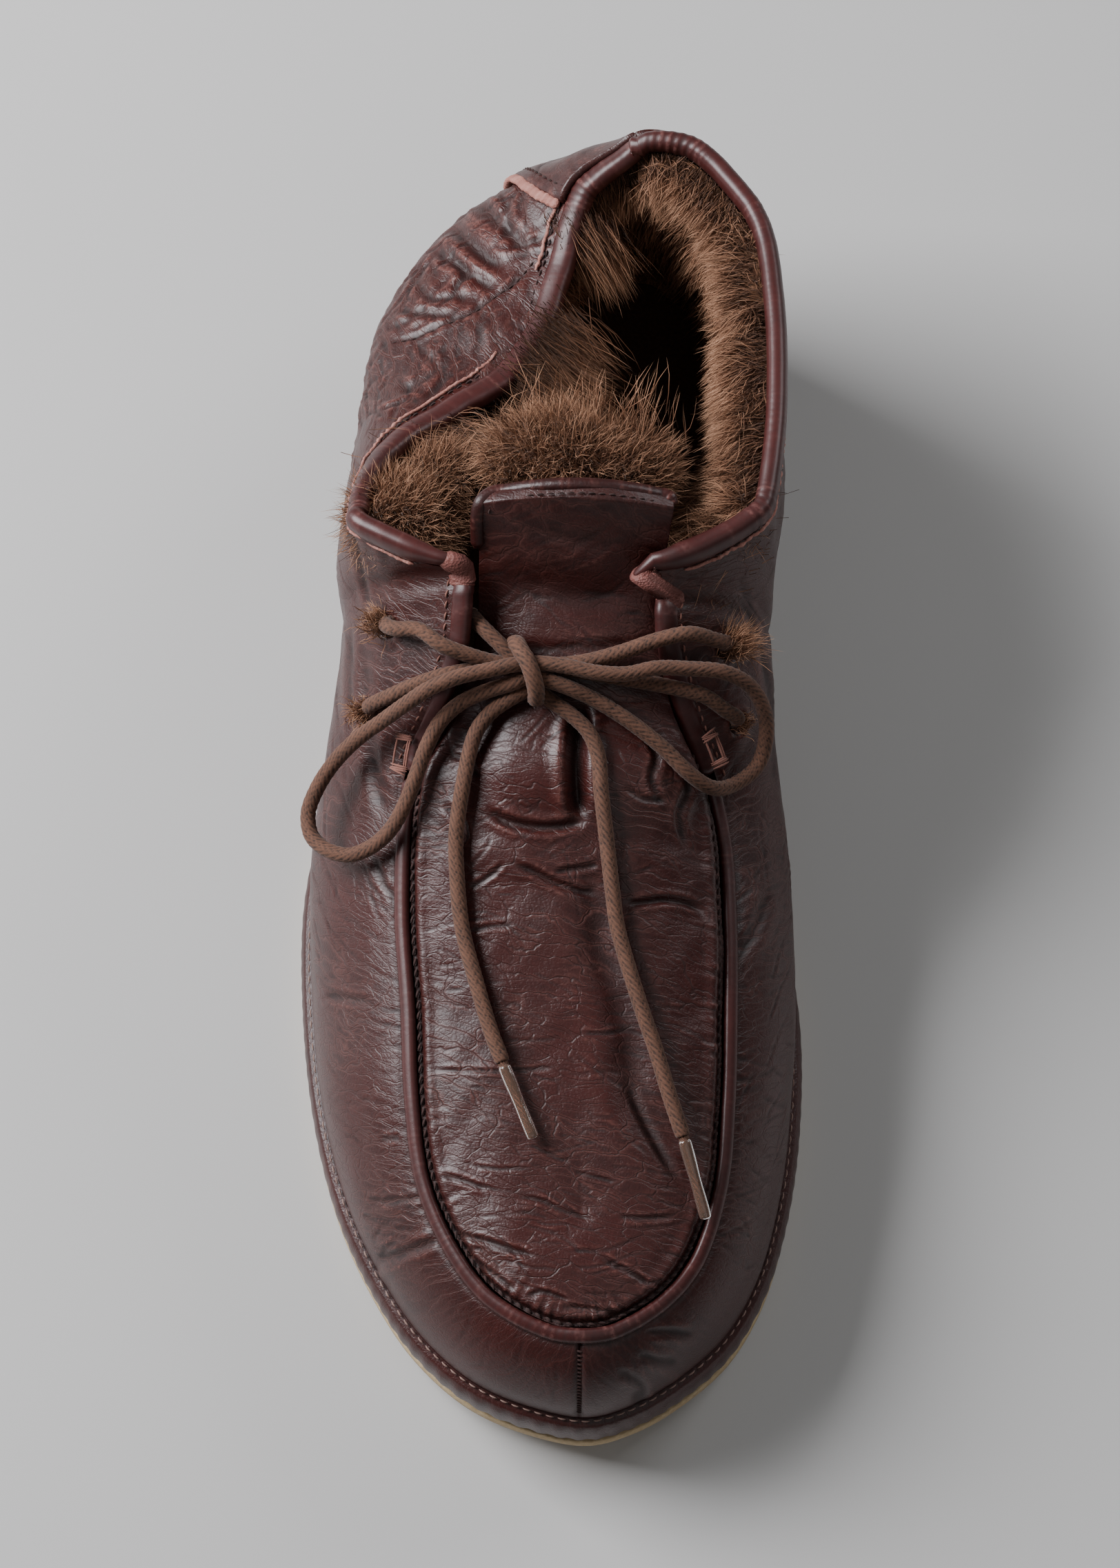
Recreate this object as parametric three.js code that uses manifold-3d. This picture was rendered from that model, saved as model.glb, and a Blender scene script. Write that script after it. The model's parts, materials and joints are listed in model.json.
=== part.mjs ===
// Fur-lined moccasin, the right shoe of a pair: a hollow chukka with an apron toe and a bow.
// Millimetres, +Z up, toe at -Y, inner side of the foot at +X, origin on the floor under the heel.
import * as THREE from "three";
import { mergeVertices } from "three/addons/utils/BufferGeometryUtils.js";
import Module from "manifold-3d";

const wasm = await Module();
wasm.setup();

// Driving sizes of the last and the sole
const SOLE_LENGTH = 281;
const BALL_WIDTH = 109;
const HEEL_BACK = 36;
const INSTEP_HEIGHT = 100;
const COLLAR_HEIGHT = 84;
const OUTSOLE = 4.5;
const PLATFORM = 12;
const INSOLE = 3;
const TOE_SPRING = 8;
const ARCH_LIFT = 1.5;

// Walls, overlays and cords
const WALL = 3;
const APRON = 2.4;
const OVERLAY = 1.4;
const FEATHER_INSET = 1.8;
const WELT_LIP = 0.6;
const PIPING = 1.3;
const FACING_EDGE = 1.4;
const COLLAR_ROLL = 2.2;
const LACE = 3.4;
const FUR_DEEP = 12;
const FUR_THIN = 6;
const GAP = 0.3;
const SMALLEST_EDGE = 0.05;

// Form of a section and of the spine that the sections lean to
const SECTION_POWER = 2.3;
const SPINE_SHORT = 40;
const SLUMP = 31;
const SIDE_BULGE = 11;

// Outline of the sole: share of the length from the heel back, then shares of the ball width
const OUTLINE = [
  { at: 0.018, lateral: 0.156, medial: 0.174 },
  { at: 0.05, lateral: 0.257, medial: 0.266 },
  { at: 0.1, lateral: 0.326, medial: 0.326 },
  { at: 0.164, lateral: 0.353, medial: 0.344 },
  { at: 0.253, lateral: 0.376, medial: 0.339 },
  { at: 0.342, lateral: 0.413, medial: 0.33 },
  { at: 0.431, lateral: 0.463, medial: 0.344 },
  { at: 0.502, lateral: 0.514, medial: 0.376 },
  { at: 0.573, lateral: 0.544, medial: 0.422 },
  { at: 0.662, lateral: 0.538, medial: 0.462 },
  { at: 0.751, lateral: 0.506, medial: 0.464 },
  { at: 0.822, lateral: 0.454, medial: 0.442 },
  { at: 0.883, lateral: 0.379, medial: 0.399 },
  { at: 0.932, lateral: 0.294, medial: 0.33 },
  { at: 0.97, lateral: 0.187, medial: 0.226 },
  { at: 0.99, lateral: 0.078, medial: 0.142 },
];
const HEEL_SIDE = 0.01;
const TOE_SIDE = 0.055;

// Spine over the foot: its offset to the inner side, and its height as a share of the instep
// height. Behind the throat the height only steepens the walls.
const SPINE = [
  { at: 0.142, side: -0.02, height: 3.2 },
  { at: 0.235, side: -0.02, height: 3.0 },
  { at: 0.288, side: -0.025, height: 2.4 },
  { at: 0.327, side: -0.027, height: 1.9 },
  { at: 0.363, side: -0.028, height: 1.43 },
  { at: 0.384, side: -0.028, height: 1.15 },
  { at: 0.391, side: -0.028, height: 1.07 },
  { at: 0.413, side: -0.027, height: 1.015 },
  { at: 0.448, side: -0.026, height: 0.94 },
  { at: 0.484, side: -0.025, height: 0.865 },
  { at: 0.52, side: -0.022, height: 0.795 },
  { at: 0.555, side: -0.018, height: 0.742 },
  { at: 0.626, side: -0.008, height: 0.675 },
  { at: 0.698, side: 0.006, height: 0.625 },
  { at: 0.769, side: 0.016, height: 0.582 },
  { at: 0.829, side: 0.03, height: 0.547 },
  { at: 0.858, side: 0.035, height: 0.53 },
];

// Seam of the apron and inner edges of the facings, from the outer facing's top round the toe:
// share of the length, and offset to the inner side as a share of the ball width
const THROAT = [
  { at: 0.391, side: -0.222 },
  { at: 0.42, side: -0.222 },
  { at: 0.45, side: -0.228 },
  { at: 0.492, side: -0.268 },
  { at: 0.523, side: -0.311 },
  { at: 0.56, side: -0.327 },
  { at: 0.63, side: -0.329 },
  { at: 0.7, side: -0.312 },
  { at: 0.77, side: -0.299 },
  { at: 0.832, side: -0.272 },
  { at: 0.884, side: -0.21 },
  { at: 0.92, side: -0.135 },
  { at: 0.9435, side: -0.023 },
  { at: 0.9465, side: 0.05 },
  { at: 0.942, side: 0.104 },
  { at: 0.918, side: 0.196 },
  { at: 0.886, side: 0.258 },
  { at: 0.826, side: 0.302 },
  { at: 0.765, side: 0.313 },
  { at: 0.7, side: 0.314 },
  { at: 0.63, side: 0.31 },
  { at: 0.565, side: 0.296 },
  { at: 0.52, side: 0.264 },
  { at: 0.49, side: 0.218 },
  { at: 0.45, side: 0.178 },
  { at: 0.42, side: 0.166 },
  { at: 0.397, side: 0.172 },
];

// Height of the collar's edge before it slumps, as a share of the way from the collar height at the
// heel to the instep height
const COLLAR = [
  { at: 0, up: 0.105 },
  { at: 0.04, up: 0.105 },
  { at: 0.1, up: 0.21 },
  { at: 0.175, up: 0.3675 },
  { at: 0.24, up: 0.49875 },
  { at: 0.306, up: 0.63 },
  { at: 0.356, up: 0.84 },
  { at: 0.397, up: 0.9975 },
];

// Apron's crown down to the tongue's end: height as a share of the instep height, half width and
// offset to the inner side as shares of the ball width
const CROWN = [
  { at: 0.361, height: 1.09, half: 0.189, side: -0.008 },
  { at: 0.377, height: 1.02, half: 0.184, side: -0.012 },
  { at: 0.413, height: 0.89, half: 0.176, side: -0.019 },
  { at: 0.448, height: 0.842, half: 0.184, side: -0.022 },
  { at: 0.484, height: 0.797, half: 0.214, side: -0.025 },
  { at: 0.52, height: 0.76, half: 0.256, side: -0.022 },
  { at: 0.56, height: 0.73, half: 0.282, side: -0.018 },
];

// Outward bulge of each side, as shares of the fullest bulge
const BULGE = [
  { at: 0, lateral: 0.45, medial: 0.4 },
  { at: 0.05, lateral: 0.62, medial: 0.42 },
  { at: 0.1, lateral: 0.82, medial: 0.56 },
  { at: 0.164, lateral: 1.04, medial: 0.66 },
  { at: 0.22, lateral: 1.16, medial: 0.76 },
  { at: 0.3, lateral: 1.06, medial: 0.86 },
  { at: 0.38, lateral: 0.92, medial: 0.92 },
  { at: 0.45, lateral: 0.62, medial: 0.88 },
  { at: 0.52, lateral: 0.36, medial: 0.7 },
  { at: 0.6, lateral: 0.1, medial: 0.42 },
  { at: 0.7, lateral: 0, medial: 0.12 },
  { at: 0.8, lateral: 0, medial: 0 },
];

// Smooth curve through a column of a table, level beyond its ends
function column(table, name) {
  const x = table.map((row) => row.at);
  const y = table.map((row) => row[name]);
  const secant = x.slice(1).map((v, i) => (y[i + 1] - y[i]) / (v - x[i]));
  const slope = x.map((v, i) => {
    const before = secant[i - 1];
    const after = secant[i];
    if (before === undefined) return after;
    if (after === undefined) return before;
    return before * after <= 0 ? 0 : (2 * before * after) / (before + after);
  });
  return (at) => {
    if (at <= x[0]) return y[0];
    if (at >= x[x.length - 1]) return y[y.length - 1];
    const i = x.findIndex((v) => v > at) - 1;
    const span = x[i + 1] - x[i];
    const t = (at - x[i]) / span;
    const rise = y[i + 1] - y[i];
    const a = slope[i] * span;
    const b = slope[i + 1] * span;
    return y[i] + t * (a + t * (3 * rise - 2 * a - b + t * (a + b - 2 * rise)));
  };
}

const mix = THREE.MathUtils.lerp;
const ease = THREE.MathUtils.smoothstep;
const stationOf = (y) => (HEEL_BACK - y) / SOLE_LENGTH;
const lengthAt = (station) => HEEL_BACK - station * SOLE_LENGTH;
const flat = (x, y) => new THREE.Vector3(x, y, 0);

// Outline as one closed curve: heel back, outer side, toe, inner side
const outline = new THREE.CatmullRomCurve3(
  [
    flat(HEEL_SIDE * BALL_WIDTH, HEEL_BACK),
    ...OUTLINE.map((row) => flat(-row.lateral * BALL_WIDTH, lengthAt(row.at))),
    flat(TOE_SIDE * BALL_WIDTH, lengthAt(1)),
    ...OUTLINE.toReversed().map((row) => flat(row.medial * BALL_WIDTH, lengthAt(row.at))),
  ],
  true,
  "centripetal",
);
outline.arcLengthDivisions = 1200;

// Point of the outline at a share of its way round, moved outwards in plan
function rim(share, outwards) {
  const s = THREE.MathUtils.euclideanModulo(share, 1);
  const at = outline.getPointAt(s);
  const along = outline.getTangentAt(s);
  return flat(at.x + along.y * outwards, at.y - along.x * outwards);
}

// Underside of the outsole: flat under heel and forefoot, a low arch and a sprung toe
const ARCH = { start: 0.26, end: 0.5 };
const SPRING_START = 0.8;
function ground(y) {
  const at = stationOf(y);
  const arch = THREE.MathUtils.clamp((at - ARCH.start) / (ARCH.end - ARCH.start), 0, 1);
  const toe = Math.max(0, (at - SPRING_START) / (1 - SPRING_START));
  return ARCH_LIFT * Math.sin(Math.PI * arch) ** 2 + TOE_SPRING * toe ** 1.8;
}
const platformTop = (y) => ground(y) + OUTSOLE + GAP + PLATFORM;
const feather = (y) => platformTop(y) + GAP;

const spineSide = column(SPINE, "side");
const spineHeight = column(SPINE, "height");
const collarUp = column(COLLAR, "up");
const crownHeight = column(CROWN, "height");
const crownHalf = column(CROWN, "half");
const crownSide = column(CROWN, "side");
const bulge = { lateral: column(BULGE, "lateral"), medial: column(BULGE, "medial") };

// Spine point that a place on the outline leans to
const MIDDLE = HEEL_BACK - SOLE_LENGTH / 2;
function spineOf(base) {
  const v = (base.y - MIDDLE) / (SOLE_LENGTH / 2);
  const y = MIDDLE + (SOLE_LENGTH / 2 - SPINE_SHORT) * (1.5 * v - 0.5 * v ** 3);
  const at = stationOf(y);
  return new THREE.Vector3(spineSide(at) * BALL_WIDTH, y, spineHeight(at) * INSTEP_HEIGHT);
}

// Throat line in plan, with a copy moved outwards by the clearance that its edging needs
const throat = new THREE.CatmullRomCurve3(
  THROAT.map((row) => flat(row.side * BALL_WIDTH, lengthAt(row.at))),
  false,
  "centripetal",
);
throat.arcLengthDivisions = 600;
const THROAT_STEPS = 240;
const EDGE_BACK = PIPING + GAP * 1.6;
const throatEdge = Array.from({ length: THROAT_STEPS + 1 }, (_, i) => {
  const at = throat.getPointAt(i / THROAT_STEPS);
  const along = throat.getTangentAt(i / THROAT_STEPS);
  return flat(at.x + along.y * EDGE_BACK, at.y - along.x * EDGE_BACK);
});

// Share of the way from base to spine where a section meets the throat's edge
function throatCrossing(base, spine) {
  const run = spine.clone().sub(base);
  let nearest = null;
  for (let i = 1; i < throatEdge.length; i++) {
    const a = throatEdge[i - 1];
    const b = throatEdge[i];
    const det = run.x * (a.y - b.y) - run.y * (a.x - b.x);
    if (Math.abs(det) < 1e-9) continue;
    const along = ((a.x - base.x) * (a.y - b.y) - (a.y - base.y) * (a.x - b.x)) / det;
    const on = (run.x * (a.y - base.y) - run.y * (a.x - base.x)) / det;
    if (on < 0 || on > 1 || along < 0 || along > 1) continue;
    if (nearest === null || along < nearest) nearest = along;
  }
  return nearest;
}

// Where on the outline the section through a corner of the throat starts
function cornerShare(corner, low, high) {
  const side = (share) => {
    const base = rim(share, -FEATHER_INSET);
    const run = spineOf(base).sub(base);
    return run.x * (corner.y - base.y) - run.y * (corner.x - base.x);
  };
  const rising = side(high) > side(low);
  for (let i = 0; i < 40; i++) {
    const middle = (low + high) / 2;
    if (side(middle) > 0 === rising) high = middle;
    else low = middle;
  }
  return (low + high) / 2;
}
const CORNER_LATERAL = cornerShare(throatEdge[0], 0.08, 0.3);
const CORNER_MEDIAL = cornerShare(throatEdge[THROAT_STEPS], 0.7, 0.92);

// How far the slack rear collar's edge has dropped inwards, round the outline from the heel's
// inner side to the outer side: shares of the slump's full length
const SLUMPED = [
  { at: -0.213, inwards: 0, forwards: 0, down: 0 },
  { at: -0.2, inwards: 0, forwards: 0.09, down: 0.09 },
  { at: -0.18, inwards: 0, forwards: 0.05, down: 0.05 },
  { at: -0.16, inwards: 0, forwards: 0, down: 0 },
  { at: -0.06, inwards: 0, forwards: 0, down: 0 },
  { at: -0.03, inwards: 0.1, forwards: 0.02, down: 0.03 },
  { at: -0.01, inwards: 0.2, forwards: 0.09, down: 0.06 },
  { at: 0.012, inwards: 0.42, forwards: 0.18, down: 0.16 },
  { at: 0.03, inwards: 0.52, forwards: 0.24, down: 0.28 },
  { at: 0.045, inwards: 0.7, forwards: 0.34, down: 0.4 },
  { at: 0.06, inwards: 0.9, forwards: 0.45, down: 0.47 },
  { at: 0.075, inwards: 0.99, forwards: 0.55, down: 0.5 },
  { at: 0.09, inwards: 0.88, forwards: 0.6, down: 0.5 },
  { at: 0.105, inwards: 0.58, forwards: 0.6, down: 0.46 },
  { at: 0.12, inwards: 0.33, forwards: 0.54, down: 0.39 },
  { at: 0.14, inwards: 0.15, forwards: 0.44, down: 0.31 },
  { at: 0.16, inwards: 0.07, forwards: 0.34, down: 0.22 },
  { at: 0.175, inwards: 0.05, forwards: 0.27, down: 0.18 },
  { at: 0.19, inwards: 0.03, forwards: 0.17, down: 0.13 },
  { at: 0.2, inwards: 0.02, forwards: 0.12, down: 0.11 },
  { at: 0.213, inwards: 0, forwards: 0, down: 0 },
];
const slumpInwards = column(SLUMPED, "inwards");
const slumpForwards = column(SLUMPED, "forwards");
const slumpDown = column(SLUMPED, "down");
const FOLD = { start: 0.46, power: 1.3 };
function slumpOf(share) {
  const s = share > 0.5 ? share - 1 : share;
  return new THREE.Vector3(slumpInwards(s), -slumpForwards(s), -slumpDown(s)).multiplyScalar(SLUMP);
}

// One section of the upper: base, spine, end of its sweep and what moves it from the plain form
const sections = new Map();
function section(round) {
  const share = THREE.MathUtils.euclideanModulo(round, 1);
  if (sections.has(share)) return sections.get(share);
  const base = rim(share, -FEATHER_INSET);
  const foot = feather(base.y);
  const spine = spineOf(base);
  const front = share > CORNER_LATERAL - 1e-6 && share < CORNER_MEDIAL + 1e-6;
  const station = stationOf(base.y);
  const crossing = front ? throatCrossing(base, spine) : null;
  let sweep;
  if (crossing !== null) {
    sweep = Math.acos((1 - crossing) ** (SECTION_POWER / 2));
  } else {
    const top = front ? INSTEP_HEIGHT : mix(COLLAR_HEIGHT, INSTEP_HEIGHT, collarUp(station));
    sweep = Math.asin(((top - foot) / (spine.z - foot)) ** (SECTION_POWER / 2));
  }
  const out = rim(share, 1).sub(rim(share, 0));
  const side = out.x < 0 ? bulge.lateral(station) : bulge.medial(station);
  const slump = slumpOf(share);
  const made = { base, foot, spine, sweep, out, station, slump, bulge: side * SIDE_BULGE };
  sections.set(share, made);
  return made;
}

// The bulge stays full from here up where the collar stands open, and closes again beside the
// throat, between these stations
const BULGE_FULL = 0.55;
const COLLAR_OPEN = { heel: 0.09, front: 0.34, throat: 0.395 };

// Point of the upper's outer face: share round the outline, and share of the way up its wall
function face(share, up) {
  const s = section(share);
  const angle = Math.max(0, up) * s.sweep;
  const inwards = 1 - Math.max(0, Math.cos(angle)) ** (2 / SECTION_POWER);
  const rise = Math.sin(angle) ** (2 / SECTION_POWER);
  const p = flat(mix(s.base.x, s.spine.x, inwards), mix(s.base.y, s.spine.y, inwards));
  p.z = mix(s.foot, s.spine.z, rise);
  const front = 1 - ease(s.station, COLLAR_OPEN.front, COLLAR_OPEN.throat);
  const collar = front * mix(0.5, 1, ease(s.station, 0, COLLAR_OPEN.heel));
  const closed = Math.sin(Math.PI * Math.min(1, up));
  const open = Math.sin((Math.PI / 2) * Math.min(1, up / BULGE_FULL));
  p.addScaledVector(s.out, s.bulge * mix(closed, open, collar));
  const lean = Math.max(0, (up - FOLD.start) / (1 - FOLD.start)) ** FOLD.power;
  p.addScaledVector(s.slump, lean);
  return p;
}

// Outward normal of that face, and a point at a depth under it
const PROBE = { round: 0.0015, up: 0.012 };
function normal(share, up) {
  const low = Math.max(0.02, up - PROBE.up);
  const high = Math.max(low + PROBE.up, Math.min(1, up + PROBE.up));
  const rise = face(share, high).sub(face(share, low));
  const round = face(share + PROBE.round, up).sub(face(share - PROBE.round, up));
  return rise.cross(round).normalize().negate();
}
function under(share, up, depth) {
  return face(share, up).addScaledVector(normal(share, up), -depth);
}

// Height of the outer face over a place in plan, found along the section that crosses it
function heightOver(x, y) {
  const at = stationOf(y);
  const lateral = x < spineSide(at) * BALL_WIDTH;
  let low = lateral ? 0.04 : 0.5;
  let high = lateral ? 0.5 : 0.96;
  const side = (share) => {
    const base = rim(share, -FEATHER_INSET);
    const run = spineOf(base).sub(base);
    return run.x * (y - base.y) - run.y * (x - base.x);
  };
  const rising = side(high) > side(low);
  for (let i = 0; i < 26; i++) {
    const middle = (low + high) / 2;
    if (side(middle) > 0 === rising) high = middle;
    else low = middle;
  }
  const base = rim(low, -FEATHER_INSET);
  const spine = spineOf(base);
  const run = flat(spine.x - base.x, spine.y - base.y);
  const left = 1 - flat(x - base.x, y - base.y).dot(run) / run.lengthSq();
  const rise = (1 - Math.min(1, Math.abs(left)) ** SECTION_POWER) ** (1 / SECTION_POWER);
  return mix(feather(base.y), spine.z, rise);
}

// Closed body from triangles of points, turned to face outwards
function bodyOf(triangles) {
  const numbers = new Float32Array(triangles.length * 3);
  triangles.forEach((p, i) => p.toArray(numbers, i * 3));
  const loose = new THREE.BufferGeometry();
  loose.setAttribute("position", new THREE.BufferAttribute(numbers, 3));
  const geometry = mergeVertices(loose, 1e-3);
  const at = geometry.getAttribute("position").array;
  const index = geometry.index.array;
  let volume = 0;
  for (let i = 0; i < index.length; i += 3) {
    const [a, b, c] = [0, 1, 2].map((k) => new THREE.Vector3().fromArray(at, index[i + k] * 3));
    volume += a.dot(b.cross(c));
  }
  if (volume < 0) {
    for (let i = 0; i < index.length; i += 3) {
      [index[i + 1], index[i + 2]] = [index[i + 2], index[i + 1]];
    }
  }
  return geometry;
}

// Wall between two grids of points; round means that the last column meets the first
function wallOf(outer, inner, round) {
  const columns = outer.length;
  const rows = outer[0].length;
  const out = [];
  const quad = (a, b, c, d) => out.push(a, b, c, a, c, d);
  const last = round ? columns : columns - 1;
  for (let i = 0; i < last; i++) {
    const j = (i + 1) % columns;
    for (let k = 1; k < rows; k++) {
      quad(outer[i][k - 1], outer[j][k - 1], outer[j][k], outer[i][k]);
      quad(inner[i][k - 1], inner[i][k], inner[j][k], inner[j][k - 1]);
    }
    quad(outer[i][0], inner[i][0], inner[j][0], outer[j][0]);
    quad(outer[i][rows - 1], outer[j][rows - 1], inner[j][rows - 1], inner[i][rows - 1]);
  }
  if (!round) {
    for (const [i, flip] of [[0, false], [columns - 1, true]]) {
      for (let k = 1; k < rows; k++) {
        const ring = [outer[i][k - 1], outer[i][k], inner[i][k], inner[i][k - 1]];
        quad(...(flip ? ring.reverse() : ring));
      }
    }
  }
  return bodyOf(out);
}

// Grid moved down along its own normals, by a depth
function lowered(points, depth) {
  const last = points.length - 1;
  const end = points[0].length - 1;
  return points.map((line, i) =>
    line.map((p, k) => {
      const a = points[Math.min(last, i + 1)][k].clone().sub(points[Math.max(0, i - 1)][k]);
      const b = line[Math.min(end, k + 1)].clone().sub(line[Math.max(0, k - 1)]);
      const way = a.cross(b).normalize();
      return p.clone().addScaledVector(way, way.z > 0 ? -depth : depth);
    }),
  );
}

// Grid of points from a function of column and row shares
function grid(columns, rows, at) {
  return Array.from({ length: columns + 1 }, (_, i) =>
    Array.from({ length: rows + 1 }, (_, k) => at(i / columns, k / rows)),
  );
}

// Round cord along a list of points, with flat ends
function cordOf(points, radius, steps, sides = 8) {
  const corner = (i) => {
    const angle = (i / sides) * 2 * Math.PI;
    return new THREE.Vector2(radius * Math.cos(angle), radius * Math.sin(angle));
  };
  const shape = new THREE.Shape(Array.from({ length: sides }, (_, i) => corner(i)));
  const path = new THREE.CatmullRomCurve3(points, false, "centripetal");
  return new THREE.ExtrudeGeometry(shape, { steps, extrudePath: path, bevelEnabled: false });
}

// Solid of a geometry for joining, and the geometry of a solid's largest shell
function solid(geometry) {
  const bare = geometry.clone();
  bare.deleteAttribute("normal");
  bare.deleteAttribute("uv");
  const merged = mergeVertices(bare, 1e-3);
  return new wasm.Manifold(
    new wasm.Mesh({
      numProp: 3,
      vertProperties: merged.getAttribute("position").array,
      triVerts: new Uint32Array(merged.index.array),
    }),
  );
}
function geometryOf(body) {
  const plain = body.asOriginal().simplify(SMALLEST_EDGE);
  const shells = plain.decompose().toSorted((a, b) => b.volume() - a.volume());
  const mesh = shells[0].getMesh();
  const geometry = new THREE.BufferGeometry();
  geometry.setAttribute("position", new THREE.BufferAttribute(mesh.vertProperties, 3));
  geometry.setIndex(new THREE.BufferAttribute(mesh.triVerts, 1));
  return geometry;
}

// Slab that follows the outline: rings of an outward move and a height function, bottom to top
const SOLE_STEPS = 38;
function platformOf(rings) {
  const count = 2 * SOLE_STEPS;
  const shares = Array.from({ length: count }, (_, i) => i / count);
  const place = ({ out, top }, share) => {
    const p = rim(share, out);
    p.z = top(p.y);
    return p;
  };
  const layers = rings.map((ring) => shares.map((share) => place(ring, share)));
  const out = [];
  for (let r = 1; r < layers.length; r++) {
    for (let i = 0; i < count; i++) {
      const j = (i + 1) % count;
      const [a, b, c, d] = [layers[r - 1][i], layers[r - 1][j], layers[r][j], layers[r][i]];
      out.push(a, b, c, a, c, d);
    }
  }
  const lid = (layer, down) => {
    const push = (a, b, c) => (down ? out.push(a, c, b) : out.push(a, b, c));
    push(layer[0], layer[1], layer[count - 1]);
    for (let i = 1; i < SOLE_STEPS - 1; i++) {
      push(layer[i], layer[i + 1], layer[count - i - 1]);
      push(layer[i], layer[count - i - 1], layer[count - i]);
    }
    push(layer[SOLE_STEPS - 1], layer[SOLE_STEPS], layer[SOLE_STEPS + 1]);
  };
  lid(layers[0], true);
  lid(layers[layers.length - 1], false);
  return bodyOf(out);
}

// Sole
const outsoleTop = (y) => ground(y) + OUTSOLE;
function outsole() {
  return platformOf([
    { out: -0.8, top: ground },
    { out: 0.4, top: (y) => ground(y) + 1 },
    { out: 0.4, top: outsoleTop },
  ]);
}
function wrappedMidsole() {
  const low = (y) => outsoleTop(y) + GAP;
  const level = (share) => (y) => low(y) + PLATFORM * share;
  return platformOf([
    { out: -WELT_LIP, top: low },
    { out: 0.2, top: level(0.25) },
    { out: 0.5, top: level(0.6) },
    { out: 0.1, top: level(0.88) },
    { out: -WELT_LIP, top: platformTop },
  ]);
}
const INSOLE_INSET = FEATHER_INSET + WALL + GAP * 2;
function insole() {
  return platformOf([
    { out: -INSOLE_INSET, top: feather },
    { out: -INSOLE_INSET, top: (y) => feather(y) + INSOLE },
  ]);
}

// Upper: one ring of wall, open on the foot's underside, at the apron, throat and collar
const UPPER_COLUMNS = { front: 50, rear: 34 };
const UPPER_ROWS = 7;
function ringShares() {
  const rear = 1 - CORNER_MEDIAL + CORNER_LATERAL;
  const front = CORNER_MEDIAL - CORNER_LATERAL;
  const shares = [];
  for (let i = 0; i < UPPER_COLUMNS.front; i++) {
    shares.push(CORNER_LATERAL + (front * i) / UPPER_COLUMNS.front);
  }
  for (let i = 0; i < UPPER_COLUMNS.rear; i++) {
    shares.push((CORNER_MEDIAL + (rear * i) / UPPER_COLUMNS.rear) % 1);
  }
  return shares;
}
const LEVELS = Array.from({ length: UPPER_ROWS + 1 }, (_, k) => k / UPPER_ROWS);
function upper() {
  const shares = ringShares();
  const outer = shares.map((share) => LEVELS.map((up) => face(share, up)));
  const inner = shares.map((share) => LEVELS.map((up) => under(share, up, WALL)));
  inner.forEach((points, i) => {
    points[0].z = outer[i][0].z;
  });
  return wallOf(outer, inner, true);
}

// Apron that runs on as the tongue, laid over the foot by rows across the throat
const APRON_ROWS = 24;
const APRON_ACROSS = 8;
const TONGUE_END = CROWN[0].at;
const APRON_TIP = Math.max(...THROAT.map((row) => row.at));
const APRON_TIP_FLAT = 0.0012;
const ROWS_CLOSER_TO_TIP = 1.55;
const STEEPEST_EDGE = 0.35;
const throatLine = Array.from({ length: THROAT_STEPS + 1 }, (_, i) =>
  throat.getPointAt(i / THROAT_STEPS),
);
function apronEdges(station) {
  const y = lengthAt(station);
  const edge = (sign) => {
    let best = null;
    for (let i = 1; i <= THROAT_STEPS; i++) {
      const a = throatLine[i - 1];
      const b = throatLine[i];
      if ((a.y - y) * (b.y - y) > 0 || a.y === b.y) continue;
      if (Math.sign(i - THROAT_STEPS / 2) !== sign) continue;
      const t = (y - a.y) / (b.y - a.y);
      const along = b.clone().sub(a).normalize();
      const slope = Math.max(STEEPEST_EDGE, Math.abs(along.y));
      best = mix(a.x, b.x, t) - (sign * EDGE_BACK) / slope;
    }
    return best;
  };
  return [edge(-1), edge(1)];
}

// Below the facings the apron's edges slip under them; the tongue bows by a share of its half width
const SLIP_UNDER = { start: 0.5, end: 0.56 };
const LAST_EDGE = 0.45;
const TONGUE_BOW = 0.22;
function apronPoint(station, across) {
  const middle = crownSide(station) * BALL_WIDTH;
  const half = crownHalf(station) * BALL_WIDTH;
  const tongue = [middle - half, middle + half];
  const under = 1 - ease(station, SLIP_UNDER.start, SLIP_UNDER.end);
  const [left, right] = station > LAST_EDGE ? apronEdges(station) : tongue;
  const low = mix(left ?? tongue[0], tongue[0], under);
  const high = mix(right ?? tongue[1], tongue[1], under);
  const x = mix(low, high, across);
  const y = lengthAt(station);
  const bow = (2 * across - 1) ** 2 * half * TONGUE_BOW;
  const sunk = crownHeight(station) * INSTEP_HEIGHT - bow;
  const z = mix(heightOver(x, y), sunk, under);
  return new THREE.Vector3(x, y, z);
}
function apronTongue() {
  const tip = APRON_TIP - EDGE_BACK / SOLE_LENGTH;
  const stationAt = (row) => mix(tip, TONGUE_END, row ** ROWS_CLOSER_TO_TIP);
  const top = grid(APRON_ROWS, APRON_ACROSS, (row, across) => {
    const station = row === 0 ? tip - APRON_TIP_FLAT : stationAt(row);
    return apronPoint(station, across);
  });
  return wallOf(top, lowered(top, APRON), false);
}

// Share of the outline where its outer or inner side passes a station
function shareAt(station, lateral) {
  let low = lateral ? 0 : 0.5;
  let high = lateral ? 0.5 : 1;
  for (let i = 0; i < 40; i++) {
    const middle = (low + high) / 2;
    if (stationOf(outline.getPointAt(middle).y) < station === lateral) low = middle;
    else high = middle;
  }
  return (low + high) / 2;
}

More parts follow.
